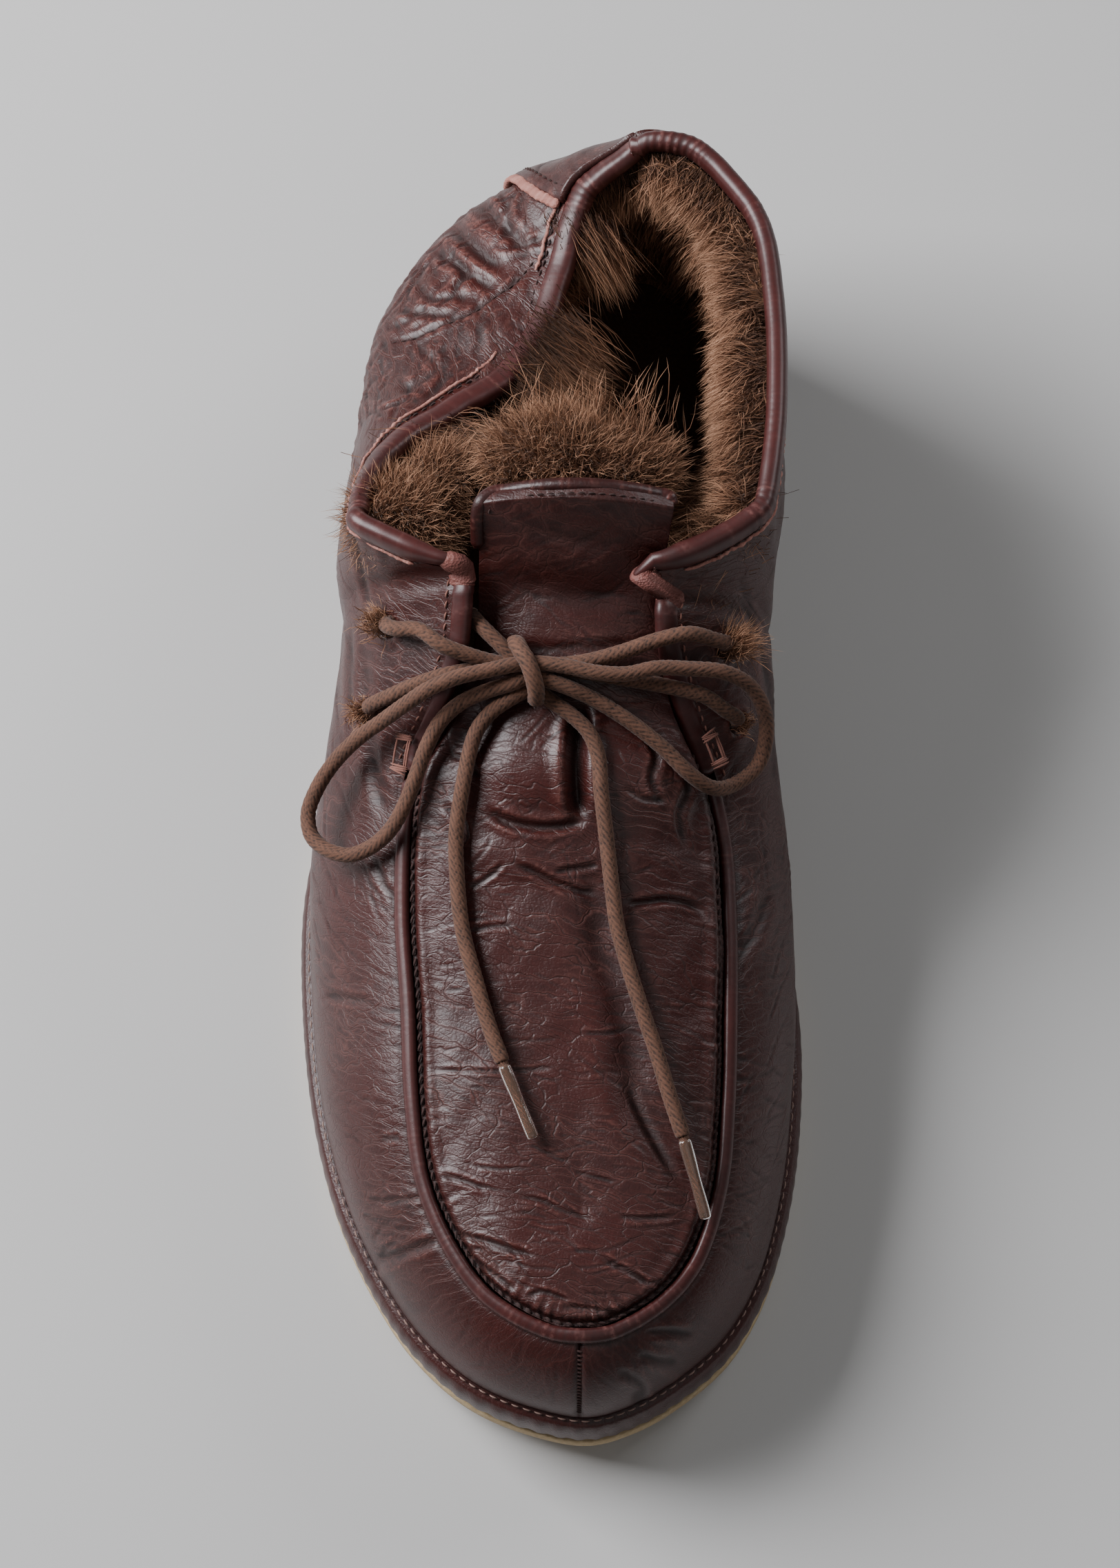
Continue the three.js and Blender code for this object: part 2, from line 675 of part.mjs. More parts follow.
// Edging along the upper's rim, from one share of the outline to another
function edging(from, to, { count, steps }, radius, proud) {
  const points = [];
  for (let i = 0; i <= count; i++) {
    const share = mix(from, to, i / count);
    const top = under(share, 1, WALL / 2 - proud);
    const along = face(share + PROBE.round, 1).sub(face(share - PROBE.round, 1)).normalize();
    const rise = face(share, 1).sub(face(share, 0.96));
    rise.addScaledVector(along, -rise.dot(along)).normalize();
    points.push(top.addScaledVector(rise, radius + EDGING_GAP));
  }
  return cordOf(points, radius, steps);
}
const THROAT_FOOT = { lateral: 0.526, medial: 0.514 };
const FACING_FOOT = {
  lateral: shareAt(THROAT_FOOT.lateral, true),
  medial: shareAt(THROAT_FOOT.medial, false),
};
const EDGING_CUT = 0.005;
const EDGING_GAP = GAP * 1.6;
const PIPING_PROUD = 1.1;
const PIPING_GRID = { count: 56, steps: 40 };
const FACING_GRID = { count: 12, steps: 14 };
const COLLAR_GRID = { count: 44, steps: 42 };
function apronPiping() {
  const { lateral, medial } = FACING_FOOT;
  return edging(lateral + EDGING_CUT, medial - EDGING_CUT, PIPING_GRID, PIPING, PIPING_PROUD);
}
function facingBinding(lateral) {
  const corner = lateral ? CORNER_LATERAL + EDGING_CUT / 2 : CORNER_MEDIAL - EDGING_CUT / 2;
  const foot = lateral ? FACING_FOOT.lateral : FACING_FOOT.medial;
  return edging(corner, foot, FACING_GRID, FACING_EDGE, 0);
}
function collarBinding() {
  const from = CORNER_MEDIAL + EDGING_CUT;
  return edging(from, 1 + CORNER_LATERAL - EDGING_CUT, COLLAR_GRID, COLLAR_ROLL, 0);
}

// Strip up the back of the heel, laid on the upper
const COUNTER = { half: 0.037, low: 0.02, high: 0.985 };
function heelCounter() {
  const signed = ringShares().map((share) => (share > 0.5 ? share - 1 : share));
  const near = signed.filter((share) => Math.abs(share) < COUNTER.half);
  const shares = near.toSorted((a, b) => a - b);
  const ups = LEVELS.map((up) => THREE.MathUtils.clamp(up, COUNTER.low, COUNTER.high));
  const at = (depth) => shares.map((share) => ups.map((up) => under(share, up, -depth)));
  return wallOf(at(GAP + OVERLAY), at(GAP), false);
}

// Rolled edge over the tongue's end
const BOUND = { points: 10, steps: 12, margin: 0.03, back: 0.01 };
function tongueBinding() {
  const radius = FACING_EDGE;
  const { points: count, margin } = BOUND;
  const place = (i) => mix(margin, 1 - margin, i / count);
  const line = (station) =>
    Array.from({ length: count + 1 }, (_, i) => apronPoint(station, place(i)));
  const [before, end] = lowered([line(TONGUE_END + BOUND.back), line(TONGUE_END)], APRON / 2);
  const points = end.map((p, i) => {
    const way = p.clone().sub(before[i]).normalize();
    return p.addScaledVector(way, radius + EDGING_GAP);
  });
  return cordOf(points, radius, BOUND.steps);
}

// Repeatable scatter between 0 and 1
function scatter(seed) {
  const v = Math.sin(seed * 127.1 + 11.7) * 43758.5453;
  return v - Math.floor(v);
}

// One tapered lock of fur from a root, along a way
function lock(root, way, length, width) {
  const cone = new THREE.ConeGeometry(width, length, 3);
  cone.translate(0, length / 2, 0);
  const turn = new THREE.Quaternion().setFromUnitVectors(new THREE.Vector3(0, 1, 0), way);
  cone.applyQuaternion(turn);
  cone.translate(root.x, root.y, root.z);
  return solid(cone);
}

// Fur inside the rear of the upper: a deep pile at the collar, thin down at the insole, with locks
const FUR_FOOT = 0.07;
const FUR_FROM = CORNER_MEDIAL;
const FUR_TO = 1 + CORNER_LATERAL;
const FUR_BACK = WALL + GAP * 2.2;
const FUR_FADE = { depth: 0.05, top: 0.025 };
const FUR_AT_ENDS = { depth: 0.55, top: 0.88 };
const FUR_ROUNDED = 4;
const FUR_LOCKS = { count: 42, margin: 0.012, low: 0.62, high: 0.95, sunk: 0.62, width: 0.24 };
function furEnds(share, fade) {
  return ease(Math.min(share - FUR_FROM, FUR_TO - share), 0, fade);
}
function furDepth(share, up) {
  const rounded = FUR_ROUNDED * ease(up, 0.85, 1);
  const deep = mix(FUR_THIN, FUR_DEEP, ease(up, 0.1, 0.75)) - rounded;
  return deep * mix(FUR_AT_ENDS.depth, 1, furEnds(share, FUR_FADE.depth));
}
function furTop(share) {
  return mix(FUR_AT_ENDS.top, 1, furEnds(share, FUR_FADE.top));
}
function furLining() {
  const rear = ringShares().slice(UPPER_COLUMNS.front);
  const shares = rear.map((share) => (share < 0.5 ? share + 1 : share)).slice(1);
  const levels = [FUR_FOOT, ...LEVELS.slice(1)];
  const upAt = (share, k) => (k === UPPER_ROWS ? furTop(share) : levels[k]);
  const outer = shares.map((share) =>
    levels.map((_, k) => under(share, upAt(share, k), FUR_BACK)),
  );
  const inner = shares.map((share, i) =>
    levels.map((_, k) => {
      const up = upAt(share, k);
      const wave = 1 + 0.12 * Math.sin(i * 1.9) * Math.sin(k * 1.4 + i * 0.7);
      return under(share, up, FUR_BACK + furDepth(share, up) * wave);
    }),
  );
  let body = solid(wallOf(outer, inner, false));
  const { count, margin, low, high, sunk, width } = FUR_LOCKS;
  for (let i = 0; i < count; i++) {
    const share = mix(FUR_FROM + margin, FUR_TO - margin, (i + 0.5) / count);
    const up = mix(low, high, scatter(i)) * furTop(share);
    const root = under(share, up, FUR_BACK + furDepth(share, up) * sunk);
    const inwards = normal(share, up).negate();
    const rise = face(share, up).sub(face(share, up - 0.05)).normalize();
    const way = inwards.addScaledVector(rise, mix(0.5, 1.3, scatter(i + 70)));
    way.x += 0.5 * (scatter(i + 140) - 0.5);
    way.y += 0.5 * (scatter(i + 210) - 0.5);
    const length = mix(0.75, 1.1, scatter(i + 280)) * FUR_DEEP;
    body = body.add(lock(root, way.normalize(), length, FUR_DEEP * width));
  }
  return geometryOf(body);
}

// Fur on the tongue's underside, puffed up behind its end
const TONGUE_FUR = { from: 0.43, to: 0.346, thin: 4, deep: 13, steps: 6, margin: 0.04 };
const BEYOND = { back: 0.02, stretch: 1.4 };
const PUFF = { back: 0.75, down: 0.66, middle: 1.5 };
const TONGUE_LOCKS = { count: 18, rows: 3, sunk: 0.6, short: 8, long: 13, width: 2.6 };
function tongueFur() {
  const { from, to, steps, margin } = TONGUE_FUR;
  const inner = apronPoint(TONGUE_END + BEYOND.back, 0.5);
  const beyond = apronPoint(TONGUE_END, 0.5).sub(inner).normalize();
  const shed = grid(steps, steps, (row, across) => {
    const station = mix(from, to, row);
    const side = mix(margin, 1 - margin, across);
    const past = Math.max(0, TONGUE_END - station) * SOLE_LENGTH;
    const onTongue = apronPoint(Math.max(TONGUE_END, station), side);
    return onTongue.addScaledVector(beyond, past * BEYOND.stretch);
  });
  const skin = lowered(shed, APRON + GAP * 2);
  const pile = shed.map((line, i) => {
    const thick = mix(TONGUE_FUR.thin, TONGUE_FUR.deep, ease(i / steps, 0, 0.9));
    const puff = new THREE.Vector3(0, thick * PUFF.back, -thick * PUFF.down);
    return line.map((p) => p.clone().add(puff));
  });
  const low = pile.map((line) =>
    line.map((p, k) => p.clone().setZ(p.z - (k === 0 || k === steps ? 0 : PUFF.middle) - APRON)),
  );
  let body = solid(wallOf(skin, low, false));
  const { count, rows, sunk, short, long, width } = TONGUE_LOCKS;
  for (let i = 0; i < count; i++) {
    const row = steps - (i % rows);
    const k = 1 + Math.floor((i / count) * (steps - 1));
    const root = skin[row][k].clone().lerp(low[row][k], sunk);
    const way = new THREE.Vector3(scatter(i) - 0.5, 0.9, 0.1 + 0.7 * scatter(i + 31)).normalize();
    body = body.add(lock(root, way, mix(short, long, scatter(i + 62)), width));
  }
  return geometryOf(body);
}

// Lace routes, chosen by hand in millimetres: runs from the eyelets, then the bow
const LACE_RUNS = [
  [
    [-39.8, -79.8, 85.2], [-36.4, -84.2, 86.2], [-33.6, -88, 88.4], [-28.8, -91.6, 89.4],
    [-24, -93, 88.2], [-18, -93.8, 85.8], [-9, -94.4, 84.6],
  ],
  [
    [-44.2, -95.4, 74.4], [-38.8, -97, 79], [-33.2, -97.6, 82], [-27.2, -96.8, 85.4],
    [-21, -95.4, 85], [-9, -94.4, 84.6],
  ],
  [
    [35.2, -79.4, 82.6], [29.8, -83, 85], [23.8, -87, 87.4], [17.4, -88.6, 87.6],
    [9.2, -91.2, 86.2], [2, -93.2, 85.6], [-9, -94.4, 84.6],
  ],
  [
    [38.6, -91.6, 69.6], [33.6, -96.2, 73.6], [27.2, -97.6, 78.4], [18.3, -96.6, 81.4],
    [9.5, -96, 83.4], [2, -95.2, 84.4], [-9, -94.4, 84.6],
  ],
];
const LACE_UNDER = [
  [-20.6, -86.4, 87.4], [-17, -89.6, 86.4], [-13.4, -92.6, 85.2], [-9, -94.4, 84.6],
];
const KNOT = [
  [-12.4, -90.6, 88.3], [-11.8, -93, 90.3], [-10.6, -95.6, 90.9], [-9.4, -98.4, 89.6],
  [-8.6, -100.6, 86.8],
];
const LOOP_LATERAL = [
  [-13.2, -95.6, 88.9], [-19.1, -97.1, 88.9], [-25.3, -98.7, 88.6], [-31.2, -100.6, 86.4],
  [-35.9, -102.3, 82], [-41.1, -104.1, 76], [-46.4, -106.1, 70.5], [-51.7, -109.6, 64.5],
  [-55.4, -114, 60], [-57.3, -118.8, 57], [-56.4, -123.7, 56.5], [-52.7, -127.4, 58],
  [-47.8, -129.1, 60], [-42.9, -128, 62.9], [-38.7, -125.2, 67], [-35.8, -120.6, 70.4],
  [-33.7, -115.4, 73], [-31.7, -110, 75.5], [-28.8, -105, 78.3], [-24.5, -101.6, 81],
  [-19.1, -99.8, 83.6], [-13.6, -99, 85.8],
];
const LOOP_MEDIAL = [
  [-7.9, -95.2, 89], [-2, -95.8, 89.1], [4, -96.8, 88.6], [10.5, -96.6, 87.5],
  [17, -94.8, 86.8], [24, -94, 84.8], [31.2, -93.6, 82.4], [37.4, -94.9, 77],
  [41, -99.6, 68.4], [39.6, -106.8, 61.8], [33.8, -112.4, 63.4], [29.2, -114.8, 68.7],
  [24.6, -113.4, 73], [18.6, -108.9, 76.8], [11.3, -104.4, 80.3], [4, -101, 83.4],
  [-1.6, -99.4, 86], [-6.2, -98.6, 87.4],
];
const END_LATERAL = [
  [-14, -101.4, 82], [-18, -103.4, 80.6], [-20.9, -107, 79], [-22.5, -112, 76.8],
  [-23.5, -117.5, 75.2], [-24.4, -123.6, 72.8], [-24.8, -129.4, 70.6], [-24.4, -136, 68.6],
  [-23, -146.8, 65.9], [-19.6, -158.5, 63.8], [-16.4, -168.2, 62.2], [-13.6, -175, 61.2],
];
const END_MEDIAL = [
  [-4.6, -102.4, 82.6], [-0.7, -104.2, 82], [2.9, -107.4, 80.6], [5, -112, 79],
  [5.9, -119.7, 76.9], [7.3, -129.2, 73.4], [8.7, -138.9, 70.2], [10, -146.6, 68],
  [14.7, -161, 64.2], [18.7, -171.5, 61.2], [21.9, -180.9, 58.7], [24.9, -188.9, 56.3],
];
const AGLET = 1.4;
const KNOT_FULLER = 0.2;
const AGLET_LATERAL = [[-13.3, -175.8, 61.1], [-6.6, -191, 58.6]];
const AGLET_MEDIAL = [[25.2, -189.7, 56.1], [30.2, -205.4, 50.9]];
const route = (points) => points.map((p) => new THREE.Vector3(...p));
function lace(points, steps, radius = LACE / 2) {
  return cordOf(route(points), radius, steps);
}
function laceBars() {
  const runs = LACE_RUNS.map((points) => solid(lace(points, 7)));
  const under = solid(lace(LACE_UNDER, 4));
  return geometryOf(runs.reduce((joined, run) => joined.add(run), under));
}

const group = new THREE.Group();
function add(name, geometry, color, roughness) {
  const material = new THREE.MeshStandardMaterial({ color, roughness, metalness: 0 });
  const mesh = new THREE.Mesh(geometry, material);
  mesh.name = name;
  group.add(mesh);
}

const LEATHER = 0x6b3833;
const LEATHER_EDGE = 0x8a625f;
const TAN = 0xb09a76;
const PILE = 0x9a7a5e;
const FUR = 0x9b7350;
const CORD = 0x8f6f58;
const CLEAR = 0xb59a86;

add("outsole", outsole(), TAN, 0.8);
add("wrapped_midsole", wrappedMidsole(), LEATHER, 0.45);
add("insole", insole(), PILE, 0.9);
add("upper", upper(), LEATHER, 0.4);
add("apron_tongue", apronTongue(), LEATHER, 0.4);
add("tongue_binding", tongueBinding(), LEATHER_EDGE, 0.45);
add("apron_piping", apronPiping(), LEATHER_EDGE, 0.4);
add("facing_binding_lateral", facingBinding(true), LEATHER_EDGE, 0.4);
add("facing_binding_medial", facingBinding(false), LEATHER_EDGE, 0.4);
add("collar_binding", collarBinding(), LEATHER_EDGE, 0.4);
add("heel_counter", heelCounter(), LEATHER, 0.4);
add("fur_lining", furLining(), FUR, 1);
add("tongue_fur", tongueFur(), FUR, 1);
add("lace_bars", laceBars(), CORD, 0.9);
add("lace_knot", lace(KNOT, 6, LACE / 2 + KNOT_FULLER), CORD, 0.9);
add("lace_loop_lateral", lace(LOOP_LATERAL, 26), CORD, 0.9);
add("lace_loop_medial", lace(LOOP_MEDIAL, 22), CORD, 0.9);
add("lace_end_lateral", lace(END_LATERAL, 13), CORD, 0.9);
add("lace_end_medial", lace(END_MEDIAL, 14), CORD, 0.9);
add("aglet_lateral", lace(AGLET_LATERAL, 1, AGLET), CLEAR, 0.2);
add("aglet_medial", lace(AGLET_MEDIAL, 1, AGLET), CLEAR, 0.2);

export default group;
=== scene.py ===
# %% [markdown]
# A fur-lined moccasin, the right shoe of a pair. It is a soft house shoe: an oxblood leather upper
# drawn over a wrapped platform, an apron that runs on as the tongue, long brown fur inside, and a
# braided cord tied in a bow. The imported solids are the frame, and every piece below is laid over
# one of them. Lengths are millimetres until a mesh is made, because leather is thought of that way.

import json
import math

import bpy
import numpy as np
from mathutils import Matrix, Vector

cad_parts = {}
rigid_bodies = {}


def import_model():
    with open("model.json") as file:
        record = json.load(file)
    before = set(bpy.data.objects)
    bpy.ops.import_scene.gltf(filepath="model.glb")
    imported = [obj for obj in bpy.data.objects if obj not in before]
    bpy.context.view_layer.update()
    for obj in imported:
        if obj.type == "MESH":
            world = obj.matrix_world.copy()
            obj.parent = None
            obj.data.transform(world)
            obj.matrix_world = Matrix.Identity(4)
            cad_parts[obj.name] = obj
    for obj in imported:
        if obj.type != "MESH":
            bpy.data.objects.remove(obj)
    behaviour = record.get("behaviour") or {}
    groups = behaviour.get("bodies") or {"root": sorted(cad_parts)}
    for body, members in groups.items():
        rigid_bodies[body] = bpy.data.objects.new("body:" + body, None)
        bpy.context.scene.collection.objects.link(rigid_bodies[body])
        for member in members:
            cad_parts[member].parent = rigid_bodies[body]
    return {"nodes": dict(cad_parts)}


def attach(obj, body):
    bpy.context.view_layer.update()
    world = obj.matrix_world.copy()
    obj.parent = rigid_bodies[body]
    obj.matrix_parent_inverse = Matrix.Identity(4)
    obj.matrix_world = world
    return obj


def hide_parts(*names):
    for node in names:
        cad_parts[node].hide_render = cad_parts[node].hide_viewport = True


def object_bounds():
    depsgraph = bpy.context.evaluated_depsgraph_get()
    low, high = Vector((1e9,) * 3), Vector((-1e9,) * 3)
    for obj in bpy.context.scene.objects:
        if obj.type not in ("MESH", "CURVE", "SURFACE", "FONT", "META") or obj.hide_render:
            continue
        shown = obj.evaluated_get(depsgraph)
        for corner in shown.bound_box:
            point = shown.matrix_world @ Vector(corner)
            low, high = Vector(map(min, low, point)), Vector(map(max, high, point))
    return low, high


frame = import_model()
cad_low, cad_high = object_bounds()
MM = 0.001
UPWARDS = np.array([0, 0, 1.0])
print("solids in the frame:", len(frame["nodes"]))

# %% [markdown]
# The photograph looks down on the shoe, from in front of the toe, with a long lens. A camera needs
# a point to look at, a direction and a focal length. They are worked out here from the angle over
# the floor and from how many pixels a radian takes in the photograph.

# %% Camera
PHOTO_LONG_SIDE = 2274
PIXELS_PER_RADIAN = 7475
SENSOR = 36
LOOKED_AT = Vector((-3.4, -99, 25)) * MM
ELEVATION = math.radians(70)
AZIMUTH = math.radians(1.46)
DISTANCE = 1.15

camera = bpy.data.objects.new("camera", bpy.data.cameras.new("camera"))
bpy.context.scene.collection.objects.link(camera)
bpy.context.scene.camera = camera
backwards = Vector((
    math.sin(AZIMUTH) * math.cos(ELEVATION),
    -math.cos(AZIMUTH) * math.cos(ELEVATION),
    math.sin(ELEVATION),
))
camera.location = LOOKED_AT + backwards * DISTANCE
camera.rotation_mode = "QUATERNION"
camera.rotation_quaternion = (-backwards).to_track_quat("-Z", "Y")
camera.data.sensor_width = SENSOR
camera.data.lens = PIXELS_PER_RADIAN / PHOTO_LONG_SIDE * SENSOR
print("lens", round(camera.data.lens, 1), "mm")

# %% [markdown]
# Everything is made from numpy arrays of points. A few small helpers turn them into objects: one
# collects points and faces, one sweeps a section along a line, one draws a smooth line through
# given points. Attributes such as "fold" travel with the points, so that a material can
# read how deep a crease is.

# %% Heaps of points and faces
class Heap:
    """Points, faces and point values that end as one mesh."""

    def __init__(self):
        self.points = []
        self.faces = []
        self.values = {}
        self.count = 0

    def add(self, points, faces, **values):
        points = np.asarray(points, float).reshape(-1, 3)
        self.points.append(points)
        if isinstance(faces, np.ndarray):
            self.faces.extend((faces + self.count).tolist())
        else:
            self.faces.extend([corner + self.count for corner in corners] for corners in faces)
        for name, value in values.items():
            value = np.broadcast_to(np.asarray(value, float).ravel(), (len(points),))
            self.values.setdefault(name, []).append(value)
        self.count += len(points)


def made(name, heap, material, nodes=()):
    """One object of a heap, riding on the root body, standing for some solids of the frame."""
    mesh = bpy.data.meshes.new(name)
    mesh.from_pydata((np.vstack(heap.points) * MM).tolist(), [], heap.faces)
    mesh.update()
    mesh.polygons.foreach_set("use_smooth", np.ones(len(mesh.polygons), bool))
    for key, parts in heap.values.items():
        layer = mesh.attributes.new(key, "FLOAT", "POINT")
        layer.data.foreach_set("value", np.concatenate(parts).astype(np.float32))
    mesh.materials.append(material)
    obj = bpy.data.objects.new(name, mesh)
    bpy.context.scene.collection.objects.link(obj)
    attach(obj, "root")
    if nodes:
        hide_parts(*nodes)
    triangles = sum(len(corners) - 2 for corners in heap.faces)
    print(f"{name}: {heap.count} points, {triangles} triangles")
    return obj


def grid_faces(rows, columns, wrap=False, flip=False):
    """Quads over a grid of points; wrap joins the last column to the first."""
    i = np.arange(rows - 1)[:, None]
    j = np.arange(columns if wrap else columns - 1)[None, :]
    k = (j + 1) % columns
    corners = [i * columns + j, i * columns + k, (i + 1) * columns + k, (i + 1) * columns + j]
    quads = np.stack([np.broadcast_to(c, (rows - 1, j.size)) for c in corners], -1).reshape(-1, 4)
    return quads[:, ::-1] if flip else quads


def close_wall(heap, columns, rows, flip=False):
    """Joins the rims of two grids of the same size, the first two of a heap."""
    count = columns * rows
    index = np.arange(count).reshape(columns, rows)
    ring = np.concatenate([index[:, 0], index[-1, 1:], index[-2::-1, -1], index[0, -2:0:-1]])
    for a, b in zip(ring, np.roll(ring, -1)):
        quad = [int(a), int(b), int(b + count), int(a + count)]
        heap.faces.append(quad[::-1] if flip else quad)


# %% Smooth lines and tubes
def smooth_line(points, closed=False, per_span=40):
    """Dense centripetal curve through given points."""
    p = np.asarray(points, float)
    if closed:
        q = np.vstack([p[-1:], p, p[:2]])
    else:
        q = np.vstack([2 * p[:1] - p[1:2], p, 2 * p[-1:] - p[-2:-1]])
    t = np.linspace(0, 1, per_span, endpoint=False)[:, None]
    out = []
    for i in range(len(q) - 3):
        p0, p1, p2, p3 = q[i : i + 4]
        d0, d1, d2 = [max(np.linalg.norm(b - a) ** 0.5, 1e-4) for a, b in ((p0, p1), (p1, p2), (p2, p3))]
        m1 = ((p1 - p0) / d0 - (p2 - p0) / (d0 + d1) + (p2 - p1) / d1) * d1
        m2 = ((p2 - p1) / d1 - (p3 - p1) / (d1 + d2) + (p3 - p2) / d2) * d1
        bend = t**2 * (3 * (p2 - p1) - 2 * m1 - m2) + t**3 * (2 * (p1 - p2) + m1 + m2)
        out.append(p1 + t * m1 + bend)
    out.append(p[:1] if closed else p[-1:])
    return np.vstack(out)


def run_of(line):
    """Distance along a line at each of its points."""
    return np.concatenate([[0], np.cumsum(np.linalg.norm(np.diff(line, axis=0), axis=1))])


def even_line(line, step):
    """The same line with points at an even step."""
    run = run_of(line)
    at = np.linspace(0, run[-1], max(2, int(round(run[-1] / step)) + 1))
    return np.stack([np.interp(at, run, line[:, k]) for k in range(line.shape[1])], 1)


def unit(v):
    return v / np.maximum(np.linalg.norm(v, axis=-1, keepdims=True), 1e-9)


def around(sides):
    """Angles of the corners of a section."""
    return np.linspace(0, 2 * math.pi, sides, endpoint=False)


def tube(line, radius, sides, flat=1.0):
    """Points (rings, sides) round a line, carried along without twisting. radius is (rings) or
    (rings, sides)."""
    way = unit(np.gradient(line, axis=0))
    side = unit(np.cross(way[0], UPWARDS + way[0, ::-1] * 0.01))
    across = [side]
    for i in range(1, len(line)):
        side = side - way[i] * side.dot(way[i])
        side = side / np.linalg.norm(side)
        across.append(side)
    across = np.array(across)
    rise = np.cross(across, way)
    angle = around(sides)[None, :]
    r = radius[:, None] if np.ndim(radius) == 1 else radius
    a = (r * np.cos(angle))[..., None] * across[:, None]
    b = (r * np.sin(angle) * flat)[..., None] * rise[:, None]
    return line[:, None] + a + b


def tube_faces(rings, sides):
    """Faces of a tube with a fan-like cap at both ends."""
    caps = [list(range(sides))[::-1], [(rings - 1) * sides + k for k in range(sides)]]
    return grid_faces(rings, sides, wrap=True).tolist() + caps


# %% [markdown]
# The lace is one round cord, cut here where the bow crosses itself. Its route is the list of
# points that the solids follow. Each loop and each free end is a cord object of its own.

# %% Lace routes
LACE = 3.4
AGLET = 1.4
LACE_RUNS = [
    [
        (-36.6, -80.6, 76), (-39.2, -82.6, 79), (-41, -84.2, 81.6), (-39, -86.6, 85.2),
        (-33.6, -88, 88.4), (-28.8, -91.6, 89.4), (-24, -93, 88.2), (-18, -93.8, 85.8),
        (-9, -94.4, 84.6),
    ],
    [
        (-40.6, -97.4, 64.4), (-43.2, -98.2, 67), (-44.4, -98.8, 70.2), (-39.6, -98.6, 76.6),
        (-33.2, -97.6, 82), (-27.2, -96.8, 85.4), (-21, -95.4, 85), (-9, -94.4, 84.6),
    ],
    [
        (28.4, -83, 73), (30.6, -84.6, 76), (32, -85.6, 79), (29.6, -86.6, 83),
        (23.8, -87, 87.4), (17.4, -88.6, 87.6), (9.2, -91.2, 86.2), (2, -93.2, 85.6),
        (-9, -94.4, 84.6),
    ],
    [
        (31.2, -96.6, 61.6), (33.4, -97.8, 64.6), (34.8, -98.6, 68), (32, -98.8, 73.2),
        (27.2, -97.6, 78.4), (18.3, -96.6, 81.4), (9.5, -96, 83.4), (2, -95.2, 84.4),
        (-9, -94.4, 84.6),
    ],
]
LACE_UNDER = [
    (-22.6, -80.6, 79), (-22, -83.4, 84), (-20.2, -86.6, 87.2), (-17, -89.6, 86.8),
    (-13.4, -92.6, 85.6), (-9, -94.4, 84.6),
]
KNOT = [
    (-13.6, -89.6, 85.4), (-12.7, -90.6, 88.2), (-11.8, -93, 90.3), (-10.4, -95.6, 91),
    (-9.2, -98.4, 90), (-8.4, -100.9, 87.4), (-8.4, -101.8, 84.4),
]
LOOP_LATERAL = [
    (-10.8, -95, 88.2), (-13.2, -95.6, 88.9), (-19.1, -97.1, 88.9), (-25.3, -98.7, 88.6),
    (-31.2, -100.6, 86.4), (-35.9, -102.3, 82), (-41.1, -104.1, 76), (-46.4, -106.1, 70.5),
    (-51.7, -109.6, 64.5), (-55.4, -114, 60), (-57.3, -118.8, 57), (-56.4, -123.7, 56.5), (-52.7, -127.4, 58),
    (-47.8, -129.1, 60), (-42.9, -128, 62.9), (-38.7, -125.2, 67), (-35.8, -120.6, 70.4),
    (-33.7, -115.4, 73), (-31.7, -110, 75.5), (-28.8, -105, 78.3), (-24.5, -101.6, 81),
    (-19.1, -99.8, 83.6), (-13.6, -98.6, 85.6), (-10.8, -97.4, 86.2),
]
LOOP_MEDIAL = [
    (-10, -95, 88.2), (-7.9, -95.2, 89), (-2, -95.8, 89.1), (4, -96.8, 88.6), (10.5, -96.6, 87.5),
    (17, -94.8, 86.8), (24, -94, 84.8), (31.2, -93.6, 82.4), (37.4, -94.9, 77),
    (41, -99.6, 68.4), (39.6, -106.8, 61.8), (33.8, -112.4, 63.4), (29.2, -114.8, 68.7),
    (24.6, -113.4, 73), (18.6, -108.9, 76.8), (11.3, -104.4, 80.3), (4, -101, 83.4),
    (-1.6, -99.4, 86), (-6.2, -98.2, 87), (-9.2, -97, 86.6),
]
END_LATERAL = [
    (-9.6, -98.6, 83.6), (-14, -101, 82.6), (-18, -103.4, 80.6), (-20.9, -107, 79), (-22.5, -112, 76.8),
    (-23.5, -117.5, 75.2), (-24.4, -123.6, 72.8), (-24.8, -129.4, 70.6), (-24.4, -136, 68.6),
    (-23, -146.8, 65.9), (-19.6, -158.5, 63.8), (-16.4, -168.2, 62.2), (-13.6, -175, 61.2),
]
END_MEDIAL = [
    (-9, -98.8, 83.8), (-4.6, -101.8, 82.9), (-0.7, -104.2, 82), (2.9, -107.4, 80.6), (5, -112, 79),
    (5.9, -119.7, 76.9), (7.3, -129.2, 73.4), (8.7, -138.9, 70.2), (10, -146.6, 68),
    (14.7, -161, 64.2), (18.7, -171.5, 61.2), (21.9, -180.9, 58.7), (24.9, -188.9, 56.3),
]
AGLET_LATERAL = [(-13.3, -175.8, 61.1), (-6.6, -191, 58.6)]
AGLET_MEDIAL = [(25.2, -189.7, 56.1), (30.2, -205.4, 50.9)]
